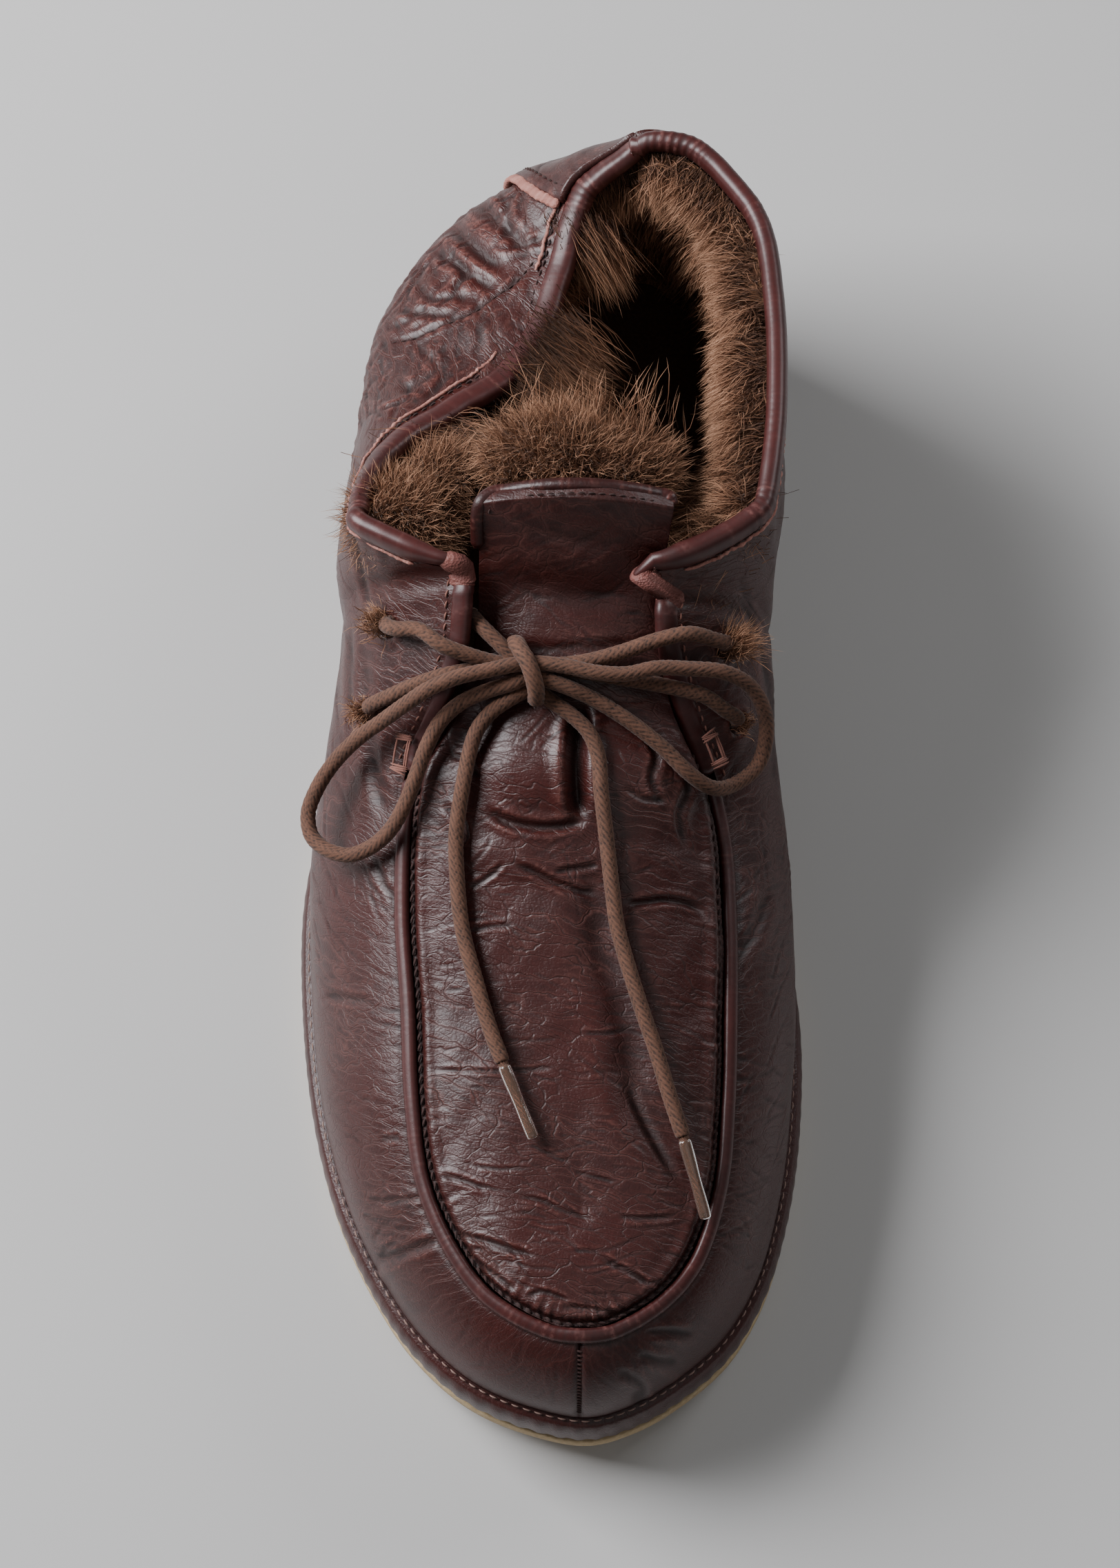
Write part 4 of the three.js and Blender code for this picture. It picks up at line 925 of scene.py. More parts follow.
def crack_net(long_cell, short_cell, thin, shift):
    """Cracks, and the pale lips beside them, a painted highlight, between cells longer with the cracks than
    across.
    """
    spread = place(grain, "ShaderNodeCombineXYZ", {
        "X": math_of(grain, "MULTIPLY_ADD", grain_in["With"], 1 / long_cell, shift),
        "Y": math_of(grain, "MULTIPLY_ADD", grain_in["Cross"], 1 / short_cell, shift),
    }).outputs[0]
    pulled = place(grain, "ShaderNodeVectorMath", {0: spread, 1: pull}, operation="ADD").outputs[0]
    cells = place(grain, "ShaderNodeTexVoronoi", {"Vector": pulled, "Scale": 1.0},
                  feature="DISTANCE_TO_EDGE", voronoi_dimensions="2D")
    to_edge = cells.outputs["Distance"]
    return remap(grain, to_edge, 0.0, thin, 1.0, 0.0), remap(grain, to_edge, thin, 3 * thin, 1.0, 0.0)


patch = noise(grain, grain_in["Place"], 0.05).outputs[0]
long_line, long_lip = crack_net(15.0, 3.6, 0.05, 0.0)
short_line, short_lip = crack_net(6.0, 2.1, 0.07, 7.0)
tiny_line, _ = crack_net(2.0, 1.1, 0.12, 3.0)
long_share = remap(grain, patch, 0.34, 0.52, 0.25, 1.0)
short_share = remap(grain, patch, 0.62, 0.42, 0.15, 0.75)
cracks = math_of(grain, "MULTIPLY", long_line, long_share)
cracks = math_of(grain, "MAXIMUM", cracks, math_of(grain, "MULTIPLY", short_line, short_share))
cracks = math_of(grain, "MULTIPLY", cracks, grain_in["Flexed"])
# The lips feed only the colour, as a painted highlight beside the cracks
lips = math_of(grain, "MAXIMUM", math_of(grain, "MULTIPLY", long_lip, long_share),
               math_of(grain, "MULTIPLY", short_lip, short_share))
lips = math_of(grain, "MULTIPLY", math_of(grain, "SUBTRACT", lips, cracks, clamp=True), grain_in["Flexed"])
pebbles = place(grain, "ShaderNodeTexVoronoi", {"Vector": grain_in["Place"], "Scale": 1.7})
pores = place(grain, "ShaderNodeTexVoronoi", {"Vector": grain_in["Place"], "Scale": 1.05})
pore = remap(grain, pores.outputs["Distance"], 0.06, 0.2, 1.0, 0.0)
relief_height = math_of(grain, "MULTIPLY", pebbles.outputs["Distance"], grain_in["Pebble"])
relief_height = math_of(grain, "SUBTRACT", relief_height, math_of(grain, "MULTIPLY", cracks, 1.3))
relief_height = math_of(grain, "SUBTRACT", relief_height, math_of(grain, "MULTIPLY", tiny_line, 0.22))
relief_height = math_of(grain, "SUBTRACT", relief_height, math_of(grain, "MULTIPLY", pore, 0.3))
grain.links.new(relief_height, grain_out["Height"])
grain.links.new(cracks, grain_out["Lines"])
grain.links.new(lips, grain_out["Lips"])

# %% Shared effect: dye, rubbing and painted shade
# Painted shade darkens the troughs and cracks. Ridges are paler and smoother, partly rubbed and
# partly a painted highlight, and the cracks' lips are paler from a painted highlight
dye_rub_and_shade, dye_rub_and_shade_in, dye_rub_and_shade_out = group_of(
    "dye, rubbing and painted shade",
    {"Place": "vector", "Dye": "colour", "Deep": "colour", "Pale and highlight": "colour", "Fold": "number",
     "Lines": "number", "Lips": "number", "Gloss": "number"},
    {"Colour": "colour", "Roughness": "number"},
)
cloud = noise(dye_rub_and_shade, dye_rub_and_shade_in["Place"], 0.04, 4.0)
fine = noise(dye_rub_and_shade, dye_rub_and_shade_in["Place"], 1.1, 3.0)
# A random mottle from dye towards deep, the leather's own tone
shade = math_of(dye_rub_and_shade, "MULTIPLY", remap(dye_rub_and_shade, cloud.outputs[0], 0.36, 0.66), 0.42)
shade = math_of(dye_rub_and_shade, "ADD", shade, math_of(dye_rub_and_shade, "MULTIPLY", remap(dye_rub_and_shade, fine.outputs[0], 0.3, 0.7), 0.25))
dye_and_shade_colour = blend_colours(dye_rub_and_shade, shade, dye_rub_and_shade_in["Dye"], dye_rub_and_shade_in["Deep"])
# Painted shade: the colour goes towards deep in the troughs, where fold is below nought, and in the cracks
trough = remap(dye_rub_and_shade, dye_rub_and_shade_in["Fold"], -0.06, -0.8)
trough = math_of(dye_rub_and_shade, "MAXIMUM", trough, math_of(dye_rub_and_shade, "MULTIPLY", dye_rub_and_shade_in["Lines"], 0.5))
dye_and_shade_colour = blend_colours(dye_rub_and_shade, math_of(dye_rub_and_shade, "MULTIPLY", trough, 0.7), dye_and_shade_colour, dye_rub_and_shade_in["Deep"])
# Ridges pale from rubbing and a painted highlight, the cracks' lips from a painted highlight alone
ridge = remap(dye_rub_and_shade, dye_rub_and_shade_in["Fold"], 0.04, 0.4)
ridge = math_of(dye_rub_and_shade, "MULTIPLY", ridge, remap(dye_rub_and_shade, fine.outputs[0], 0.35, 0.65))
lip_highlight = math_of(dye_rub_and_shade, "MULTIPLY", dye_rub_and_shade_in["Lips"], remap(dye_rub_and_shade, cloud.outputs[0], 0.42, 0.6, 0.08, 0.5))
ridge = math_of(dye_rub_and_shade, "MAXIMUM", ridge, lip_highlight)
pale_and_highlit = blend_colours(dye_rub_and_shade, math_of(dye_rub_and_shade, "MULTIPLY", ridge, 0.62), dye_and_shade_colour, dye_rub_and_shade_in["Pale and highlight"])
dye_rub_and_shade.links.new(pale_and_highlit, dye_rub_and_shade_out["Colour"])
rough = math_of(dye_rub_and_shade, "ADD", dye_rub_and_shade_in["Gloss"], math_of(dye_rub_and_shade, "MULTIPLY", trough, 0.2))
rough = math_of(dye_rub_and_shade, "ADD", rough, math_of(dye_rub_and_shade, "MULTIPLY", cloud.outputs[0], 0.14))
dye_rub_and_shade.links.new(rough, dye_rub_and_shade_out["Roughness"])
print("groups:", grain.name, "and", dye_rub_and_shade.name)


# %% Leather materials
def leather_material(name, dye, deep, pale_and_highlit, gloss, pebble=0.45, bump=0.45, coat=0.16):
    material, tree, shader = material_of(
        name, Coat_Weight=coat, Coat_Roughness=0.3, IOR=1.5, Specular_IOR_Level=0.42,
    )
    at = object_place(tree)
    skin = place(tree, "ShaderNodeGroup", node_tree=grain)
    dye_rub_and_shade_node = place(tree, "ShaderNodeGroup", node_tree=dye_rub_and_shade)
    for node in (skin, dye_rub_and_shade_node):
        tree.links.new(at, node.inputs["Place"])
    skin.inputs["Pebble"].default_value = pebble
    for socket, key in (("With", "with"), ("Cross", "cross"), ("Flexed", "flexed")):
        tree.links.new(attribute(tree, key), skin.inputs[socket])
    for key, value in (("Dye", dye), ("Deep", deep), ("Pale and highlight", pale_and_highlit), ("Gloss", gloss)):
        dye_rub_and_shade_node.inputs[key].default_value = value
    # fold and the crack masks drive the painted shade and painted highlight in the base colour
    tree.links.new(attribute(tree, "fold"), dye_rub_and_shade_node.inputs["Fold"])
    tree.links.new(skin.outputs["Lines"], dye_rub_and_shade_node.inputs["Lines"])
    tree.links.new(skin.outputs["Lips"], dye_rub_and_shade_node.inputs["Lips"])
    tree.links.new(dye_rub_and_shade_node.outputs["Colour"], shader.inputs["Base Color"])
    tree.links.new(dye_rub_and_shade_node.outputs["Roughness"], shader.inputs["Roughness"])
    bumped(tree, shader, skin.outputs["Height"], bump, 0.2)
    return material


oxblood = leather_material(
    "oxblood leather", colour(62, 20, 16), colour(25, 8, 7), colour(122, 74, 66), gloss=0.35,
)
rolled = leather_material(
    "rolled leather edge", colour(74, 32, 30), colour(38, 14, 13), colour(124, 80, 75), gloss=0.36,
    pebble=0.15, bump=0.2,
)
raw_edge = leather_material(
    "raw leather edge", colour(176, 120, 108), colour(104, 58, 50), colour(208, 160, 148), gloss=0.6,
    pebble=0.8, bump=0.8, coat=0.0,
)
frayed = leather_material(
    "frayed leather", colour(118, 68, 61), colour(72, 36, 32), colour(176, 122, 112), gloss=0.55,
    pebble=1.0, bump=1.0, coat=0.0,
)


# %% [markdown]
# The upper is one ring of leather, but it is made here as an outer and an inner half that meet at
# the toe seam and under the heel patch, so that each half can be fine enough for its creases. An
# outer grid carries the relief, a coarser inner grid follows it a wall's thickness below.

# %% The two halves of the upper
UPPER_COLUMNS = 480
TOE_SEAM = 0.507
UPPER_ROWS = 92
INNER_ROWS = 10
EYELETS = [(-40.8, -83.9, 79.4), (-44.8, -99, 67.1), (31.9, -85.8, 76.2), (34.9, -98.6, 64.8)]
EYELET = 1.9
NO_CRACKS = {"with": 0, "cross": 0, "flexed": 0}


def chart_of(points):
    """Distance up the wall at each row of a grid of columns."""
    step = np.linalg.norm(np.diff(points, axis=1), axis=2)
    return np.concatenate([np.zeros((len(points), 1)), np.cumsum(step, axis=1)], 1)


def upper_relief(share, ups, points, lateral):
    """Relief along the normals and fold values over one half of the upper."""
    flat = points.reshape(-1, 3)
    plan = flat[:, :2]
    relief = np.zeros(len(flat))
    fold = np.zeros(len(flat))
    run = np.broadcast_to((share * OUTLINE_LENGTH)[:, None], points.shape[:2])
    wall = chart_of(points)
    chart = np.stack([run.ravel(), wall.ravel()], 1)
    high = np.broadcast_to(ups, points.shape[:2]).ravel()
    station = station_of(flat[:, 1])
    for depth, width, line in VAMP_CREASES:
        press(relief, fold, plan, line, depth, width)
    rear_relief, rear_fold = np.zeros(len(flat)), np.zeros(len(flat))
    for depth, width, line in HEEL_CREASES:
        press(rear_relief, rear_fold, plan, line, 0.62 * depth, 0.85 * width, shoulder=0.6)
    shown = ease(high, 0.42, 0.56)
    relief += rear_relief * shown
    fold += rear_fold * shown
    quiet = ease(wall.ravel(), 0, 8) * (1 - ease(high, 0.93, 1))
    soft = mix(0.22, 0.75, ease(0.5 - station, -0.05, 0.2)) * quiet
    relief += soft * (0.7 * ripple(flat, 34, 3) + 0.25 * ripple(flat, 13, 4))
    rng = np.random.default_rng(11 if lateral else 12)
    for _ in range(330):
        column_at = rng.integers(0, len(share))
        up_at = rng.uniform(0.2, 0.97)
        start = (share[column_at] * OUTLINE_LENGTH, wall[column_at, int(up_at * (len(ups) - 1))])
        along = station_of(points[column_at, len(ups) // 2, 1])
        steep = np.interp(along, [0.05, 0.3, 0.45, 0.55, 0.7, 0.9], [0.9, 0.7, 0.3, 0.5, 1.1, 1.3])
        heading = steep + rng.normal(0, 0.2)
        heading = heading if lateral else math.pi - heading
        line = wander(rng, start, heading, rng.uniform(6, 20), 0.16)
        strength = rng.uniform(0.04, 0.16) * (1.5 if along < 0.2 else 1.0) * (0.5 if along > 0.88 else 1.0)
        press(relief, fold, chart, line, strength, rng.uniform(0.35, 0.6))
    for _ in range(150 if lateral else 0):
        start = (rng.uniform(0.03, 0.15) * OUTLINE_LENGTH, rng.uniform(30, 85))
        line = wander(rng, start, rng.choice([0.5, -0.6]) + rng.normal(0, 0.35), rng.uniform(5, 15), 0.3)
        press(relief, fold, chart, line, rng.uniform(0.08, 0.3), rng.uniform(0.45, 0.9), shoulder=0.6)
    return relief, fold, wall


def half_upper(name, lateral, nodes):
    share = np.linspace(0, TOE_SEAM, UPPER_COLUMNS) if lateral else np.linspace(TOE_SEAM, 1, UPPER_COLUMNS)
    ups = np.linspace(0, 1, UPPER_ROWS)
    points = face(share, ups)
    out = normal(share, ups)
    relief, fold, wall = upper_relief(share, ups, points, lateral)
    relief = relief.reshape(points.shape[:2])
    fold = fold.reshape(points.shape[:2])
    # fold below paints shade into the toe seam's groove, the tucked front edge, the groove at the foot and
    # each eyelet hole, and a paler rim round each eyelet
    seam = np.abs(share - TOE_SEAM) * OUTLINE_LENGTH
    groove = bell(seam[:, None], 0, 0.8) * ease(wall, 1, 5)
    relief -= 0.7 * groove
    fold -= 0.8 * groove
    front_edge = ((share > CORNER_LATERAL) & (share < CORNER_MEDIAL))[:, None]
    to_edge = wall[:, -1:] - wall
    tucked = bell(to_edge, 0, 1.1) * front_edge
    relief -= 0.4 * tucked
    fold -= 0.5 * tucked
    foot_groove = bell(wall, 0.8, 0.8)
    relief -= 0.3 * foot_groove
    fold -= 0.6 * foot_groove
    for centre in EYELETS:
        away = np.linalg.norm(points - np.array(centre), axis=2)
        hole = np.exp(-((away / EYELET) ** 4))
        lip = bell(away, 2.9, 1.1)
        relief += 0.35 * lip - 4.2 * hole
        fold += 0.4 * lip - 1.2 * hole
    relief *= np.minimum(1, to_edge / 0.6 + 0.15)
    outer = points + out * relief[..., None]
    inner_ups = np.linspace(0, 1, INNER_ROWS)
    inner = under(share, inner_ups, WALL)
    inner[:, 0, 2] = outer[:, 0, 2]
    along = (share * OUTLINE_LENGTH)[:, None] * (1 if lateral else -1)
    station = station_of(points[..., 1])
    flexed = mix(0.85, 0.3, ease(station, 0.84, 0.93)) * ease(wall, 2, 9)
    heap = Heap()
    heap.add(outer, grid_faces(UPPER_COLUMNS, UPPER_ROWS, flip=True), fold=fold,
             **{"with": wall + 0.25 * along, "cross": along - 0.5 * wall, "flexed": flexed})
    # The inner face carries fold -0.3, a painted shade over it
    heap.add(inner, grid_faces(UPPER_COLUMNS, INNER_ROWS), fold=-0.3, **NO_CRACKS)
    base = UPPER_COLUMNS * UPPER_ROWS
    for i in range(UPPER_COLUMNS - 1):
        foot = [i * UPPER_ROWS, (i + 1) * UPPER_ROWS, base + (i + 1) * INNER_ROWS, base + i * INNER_ROWS]
        top = [f + UPPER_ROWS - 1 for f in foot[:2]] + [f + INNER_ROWS - 1 for f in foot[2:]]
        heap.faces.append(foot)
        heap.faces.append(top[::-1])
    for column_at, turn in ((0, 1), (UPPER_COLUMNS - 1, -1)):
        ring = [column_at * UPPER_ROWS + k for k in range(UPPER_ROWS)]
        ring += [base + column_at * INNER_ROWS + k for k in reversed(range(INNER_ROWS))]
        heap.faces.append(ring[::turn])
    made(name, heap, oxblood, nodes)
    return outer


lateral_skin = half_upper("upper_lateral_half", True, ["upper"])
half_upper("upper_medial_half", False, ["upper"])

# %% [markdown]
# The apron is the long oval over the foot, sewn to the vamp with a piped seam. Its edge is turned
# and drawn in by the thread, so it puckers: small ridges run inwards from the seam and fade out.
# Behind the seam it slips under the facings and becomes the tongue. Two puffy lobes stand up below
# the bow with a deep fold between them, where the foot bends.

# %% Apron and tongue
APRON_ROWS = 400
APRON_ACROSS = 176
UNDER_ROWS = 40
UNDER_ACROSS = 16
TONGUE_END = CROWN["at"][0]
TONGUE_TIP = TONGUE_END - 0.011
TONGUE_ROUND = 5.0
APRON_TIP = max(THROAT["at"])
PUCKER_PITCH = 3.1
SEAM_BACK = 1.0
PLACES_AT_ONCE = 20000
tip_index = int(np.argmin(throat[:, 1]))
edge_slope = np.maximum(0.35, np.abs(throat_way[:, 1]))


def apron_edges(station):
    """Left and right x of the apron's edges at a station, tucked a little under the piping."""
    y = length_at(station)
    found = []
    for part, sign in ((slice(0, tip_index + 1), -1), (slice(tip_index, None), 1)):
        py, px, slope = throat[part, 1], throat[part, 0], edge_slope[part]
        if py[0] > py[-1]:
            py, px, slope = py[::-1], px[::-1], slope[::-1]
        found.append(np.interp(y, py, px) - sign * SEAM_BACK / np.interp(y, py, slope))
    return found


def height_over(x, y):
    """Height of the outer face over a place in plan."""
    at = station_of(y)
    lateral = x < spine_side(at) * BALL_WIDTH
    low = np.where(lateral, 0.04, 0.5)
    high = np.where(lateral, 0.5, 0.96)
    rising = beside(high, x, y) > beside(low, x, y)
    for _ in range(HALVINGS_OVER):
        middle = (low + high) / 2
        up = (beside(middle, x, y) > 0) == rising
        high = np.where(up, middle, high)
        low = np.where(up, low, middle)
    base = rim(low, -FEATHER_INSET)
    spine = spine_of(base)
    run = spine[..., :2] - base
    off = np.stack([x, y], -1) - base
    left = 1 - (off * run).sum(-1) / (run * run).sum(-1)
    rise = (1 - np.minimum(1, np.abs(left)) ** SECTION_POWER) ** (1 / SECTION_POWER)
    return mix(feather(base[..., 1]), spine[..., 2], rise)


def apron_points(station, across):
    """Plain form of the apron and tongue over stations (n) and shares across (m)."""
    station = np.asarray(station, float)[:, None]
    across = np.asarray(across, float)[None, :]
    middle = crown["side"](station) * BALL_WIDTH
    half = crown["half"](station) * BALL_WIDTH
    slipped = 1 - ease(station, 0.5, 0.56)
    left, right = apron_edges(station)
    left = np.where(station > 0.45, left, middle - half)
    right = np.where(station > 0.45, right, middle + half)
    x = mix(mix(left, middle - half, slipped), mix(right, middle + half, slipped), across)
    y = np.broadcast_to(length_at(station), x.shape)
    for corner, sign in ((TONGUE_ROUND, 1), (TONGUE_ROUND / 2, -1)):
        short = np.clip(1 - (station - TONGUE_TIP) * SOLE_LENGTH / corner, 0, 1)
        inset = corner * (1 - np.sqrt(1 - short**2)) * sign
        x = x + inset * ((1 - across) if sign > 0 else across)
    bow = (2 * across - 1) ** 2 * half * 0.22
    sunk = crown["height"](station) * INSTEP_HEIGHT - bow
    z = mix(height_over(x, y), sunk, slipped)
    return np.stack([x, y, z], -1)


# Creases of the apron: depth, width, line in plan
APRON_CREASES = [
    (1.1, 0.9, [(-19, -122), (-13, -125), (-6, -126), (-1, -125.5), (4, -124)]),
    (2.7, 1.7, [(1.5, -99), (0.8, -105), (0.4, -112), (0.8, -119), (2, -125)]),
    (0.9, 0.7, [(-13, -133), (-8, -135), (-4, -137), (-1, -138), (3, -139), (6, -139)]),
    (0.6, 0.6, [(-4, -135), (2, -134), (6, -133)]),
    (0.9, 0.7, [(11, -141), (16, -140), (20, -139), (25, -139), (29, -140)]),
    (0.4, 0.5, [(-22, -138), (-18, -136), (-14, -133)]),
    (0.4, 0.5, [(-22, -147), (-17, -146), (-12, -146)]),
    (0.35, 0.45, [(2, -168), (8, -168), (13, -167), (17, -168)]),
    (0.3, 0.4, [(-30, -175), (-18, -176), (-10, -176), (-1, -175)]),
    (0.4, 0.5, [(8, -215), (13, -217), (18, -219), (21, -219)]),
    (0.35, 0.5, [(11, -206), (17, -206), (24, -205)]),
    (0.35, 0.5, [(-26, -197), (-20, -199), (-16, -201)]),
    (0.35, 0.5, [(-11, -202), (-5, -203), (0, -205), (7, -207)]),
    (0.3, 0.4, [(-8, -191), (-2, -194), (2, -195)]),
    (0.3, 0.4, [(2, -197), (7, -198), (11, -199)]),
    (0.45, 0.6, [(-24, -209), (-17, -211), (-11, -213), (-5, -215)]),
    (0.45, 0.6, [(-20, -214), (-13, -219), (-9, -222)]),
    (0.35, 0.5, [(-8, -223), (-4, -222), (2, -224)]),
    (0.45, 0.6, [(-1, -225), (8, -225.5), (13, -226), (17, -225)]),
    (0.5, 0.7, [(-27, -110), (-23, -112), (-20, -116)]),
    (0.5, 0.7, [(-28, -120), (-24, -124), (-22, -129)]),
    (0.6, 0.8, [(14, -106), (17, -110), (16, -115), (19, -120)]),
    (0.6, 0.8, [(22, -108), (24, -114), (22, -121), (25, -128)]),
    (0.5, 0.6, [(10, -117), (15, -119), (20, -118)]),
]
# Long soft troughs: beside the lace's inner end, along the toe's inner side, and over the tongue
APRON_TROUGHS = [
    (1.3, 4.0, [(2, -124), (5, -138), (7, -149), (10, -157), (13, -167), (15, -180), (19, -188),
                (23, -195), (28, -205)]),
    (0.6, 1.0, [(12, -176), (16, -184), (20, -191), (25, -199)]),
    (0.8, 3.0, [(-18, -76), (-8, -79), (4, -80), (14, -78)]),
    (0.4, 1.3, [(-16, -70), (-4, -71), (10, -72)]),
    (0.4, 1.2, [(-17, -88), (-6, -90), (6, -89), (16, -87)]),
]
# Puffy lobes: centre in plan, half sizes, height
LOBES = [
    (-9, -112, 11, 13, 2.3),
    (14.5, -113, 11, 16, 2.0),
    (-7, -131, 14, 5.0, 0.9),
    (18, -133, 11, 5.5, 1.0),
    (-5, -146, 13, 7, 0.5),
    (18, -152, 9, 10, 0.5),
]


def throat_distance(plan):
    """Distance inwards from the seam line, and run along it, for places in plan."""
    best = np.full(len(plan), np.inf)
    run = np.zeros(len(plan))
    at = run_of(throat)
    for start in range(0, len(plan), PLACES_AT_ONCE):
        some = slice(start, start + PLACES_AT_ONCE)
        d = np.linalg.norm(plan[some, None] - throat[None], axis=2)
        k = d.argmin(axis=1)
        best[some] = d[np.arange(len(d)), k]
        run[some] = at[k]
    return best, run


def apron_relief(points):
    flat = points.reshape(-1, 3)
    plan = flat[:, :2]
    relief, fold = np.zeros(len(flat)), np.zeros(len(flat))
    edge, run = throat_distance(plan)
    edge = np.maximum(0, edge - SEAM_BACK)
    sewn = ease(station_of(plan[:, 1]), 0.47, 0.53)
    beat = np.sin(2 * math.pi * run / PUCKER_PITCH + 1.6 * np.sin(run / 7) + 0.8 * np.sin(run / 2.6))
    jitter = 0.5 + 0.5 * ripple(np.stack([run, run * 0.3], 1), 11, 21)
    drawn = np.exp(-np.maximum(0, edge - 1) / 2.6) * ease(edge, 0.6, 1.6) * np.clip(jitter, 0.1, 1.4)
    # fold paints shade in the puckers' troughs and paler crests on them
    relief += sewn * 0.26 * beat * drawn
    fold += sewn * 0.5 * beat * drawn
    relief += sewn * (0.5 * bell(edge, 2.6, 1.3) - bell(edge, 0.8, 0.75))
    relief -= sewn * 0.5 * bell(edge, 0, 0.8)
    # Painted shade in the groove beside the piping
    fold -= sewn * 0.9 * bell(edge, 0.6, 0.8)
    for x, y, wide, long, tall in LOBES:
        d = ((plan[:, 0] - x) / wide) ** 2 + ((plan[:, 1] - y) / long) ** 2
        relief += tall * np.exp(-(d**1.8))
    for depth, width, line in APRON_TROUGHS:
        press(relief, fold, plan, line, depth, width, shoulder=0.3, long_ends=0.3)
    for depth, width, line in APRON_CREASES:
        press(relief, fold, plan, line, depth, width)
    rng = np.random.default_rng(5)
    for _ in range(330):
        y = rng.uniform(length_at(APRON_TIP) + 4, -70)
        x = rng.uniform(-34, 32)
        low = station_of(y) > 0.62
        heading = rng.normal(-0.2 if low else 0.05, 0.16 if low else 0.35)
        line = wander(rng, (x, y), heading, rng.uniform(5, 20), 0.16)
        press(relief, fold, plan, line, rng.uniform(0.03, 0.13), rng.uniform(0.26, 0.42))
    relief += 0.3 * ripple(flat, 21, 8) + 0.08 * ripple(flat, 8, 9)
    return relief.reshape(points.shape[:2]), fold.reshape(points.shape[:2])


def grid_normals(points):
    a, b = np.gradient(points, axis=0), np.gradient(points, axis=1)
    n = unit(np.cross(a, b))
    return np.where(n[..., 2:] < 0, -n, n)


tip = APRON_TIP - SEAM_BACK / SOLE_LENGTH
apron_shares = np.linspace(0, 1, APRON_ROWS)
apron_stations = mix(tip, TONGUE_TIP, mix(apron_shares**1.15, 1 - (1 - apron_shares) ** 1.5, apron_shares**4))
apron_across = np.linspace(0, 1, APRON_ACROSS)
apron_plain = apron_points(apron_stations, apron_across)
apron_normals = grid_normals(apron_plain)
relief, fold = apron_relief(apron_plain)
apron_top = apron_plain + apron_normals * relief[..., None]
rows = np.linspace(0, APRON_ROWS - 1, UNDER_ROWS).round().astype(int)
columns = np.linspace(0, APRON_ACROSS - 1, UNDER_ACROSS).round().astype(int)
apron_below = (apron_plain - apron_normals * APRON)[np.ix_(rows, columns)]
flexed = mix(0.6, 1.0, ease(station_of(apron_plain[..., 1]), 0.42, 0.52))
apron = Heap()
apron.add(apron_top, grid_faces(APRON_ROWS, APRON_ACROSS), fold=fold,
          **{"with": apron_plain[..., 0], "cross": apron_plain[..., 1] + 0.2 * apron_plain[..., 0],
             "flexed": flexed})
# The underside carries fold -0.4, a painted shade over it
apron.add(apron_below, grid_faces(UNDER_ROWS, UNDER_ACROSS, flip=True), fold=-0.4, **NO_CRACKS)
below_start = APRON_ROWS * APRON_ACROSS


def apron_rim(top_line, below_line, turn):
    """Closes the wall between the fine edge and the coarse one below it."""
    shares = np.linspace(0, 1, len(below_line))
    nearest = np.clip(np.searchsorted(shares, np.linspace(0, 1, len(top_line)), side="right") - 1, 0,
                      len(below_line) - 2)
    for i in range(len(top_line) - 1):
        a, b = top_line[i], top_line[i + 1]
        c, d = below_line[nearest[i + 1]], below_line[nearest[i]]
        ring = [a, b, c] if c == d else [a, b, c, d]
        apron.faces.append(ring[::turn])
    last = [top_line[-1], below_line[-1], below_line[-2]]
    apron.faces.append(last[::turn])


top_index = np.arange(APRON_ROWS * APRON_ACROSS).reshape(APRON_ROWS, APRON_ACROSS)
below_index = below_start + np.arange(UNDER_ROWS * UNDER_ACROSS).reshape(UNDER_ROWS, UNDER_ACROSS)
for top_line, below_line, turn in (
    (top_index[0], below_index[0], -1),
    (top_index[-1], below_index[-1], 1),
    (top_index[:, 0], below_index[:, 0], 1),
    (top_index[:, -1], below_index[:, -1], -1),
):
    apron_rim(top_line.tolist(), below_line.tolist(), turn)
made("apron_and_tongue", apron, oxblood, ["apron_tongue"])

# %% [markdown]
# Every cut edge is finished with a narrow strip of leather folded over it: thick round the collar,
# thin on the facings, and a smooth piped cord in the apron's seam. Each is an oval section swept
# along the rim of the upper, tall enough to wrap over the wall on both sides. Leather pulled round
# a tight turn gathers, so the section gets cross wrinkles where the rim bends most. The leather is
# frayed at the facings' upper corners, and a raw cut edge shows below the collar's roll at both
# corners and at the heel.

# %% Rolled edges
def share_at(station, lateral):
    """Share of the outline where its outer or inner side passes a station."""
    low, high = (0.0, 0.5) if lateral else (0.5, 1.0)
    for _ in range(HALVINGS):
        middle = (low + high) / 2
        if (station_of(rim(middle)[1]) < station) == lateral:
            low = middle
        else:
            high = middle
    return (low + high) / 2


FACING_FOOT_LATERAL = share_at(0.526, True)
FACING_FOOT_MEDIAL = share_at(0.514, False)
OVAL_POWER = 2.4
EDGE_STEP = 0.55


def rim_frame(share):
    """Middle of the wall along the upper's rim, its way over the edge and its outward normal."""
    share = np.asarray(share, float)
    top = under(share, [1.0], WALL / 2)[:, 0]
    along = unit((face(share + SHARE_STEP, [1.0]) - face(share - SHARE_STEP, [1.0]))[:, 0])
    rise = (face(share, [1.0]) - face(share, [0.96]))[:, 0]
    rise = unit(rise - along * (rise * along).sum(1, keepdims=True))
    across = np.cross(along, rise)
    outwards = np.sign((across * normal(share, [1.0])[:, 0]).sum(1, keepdims=True))
    return top, rise, unit(across) * outwards


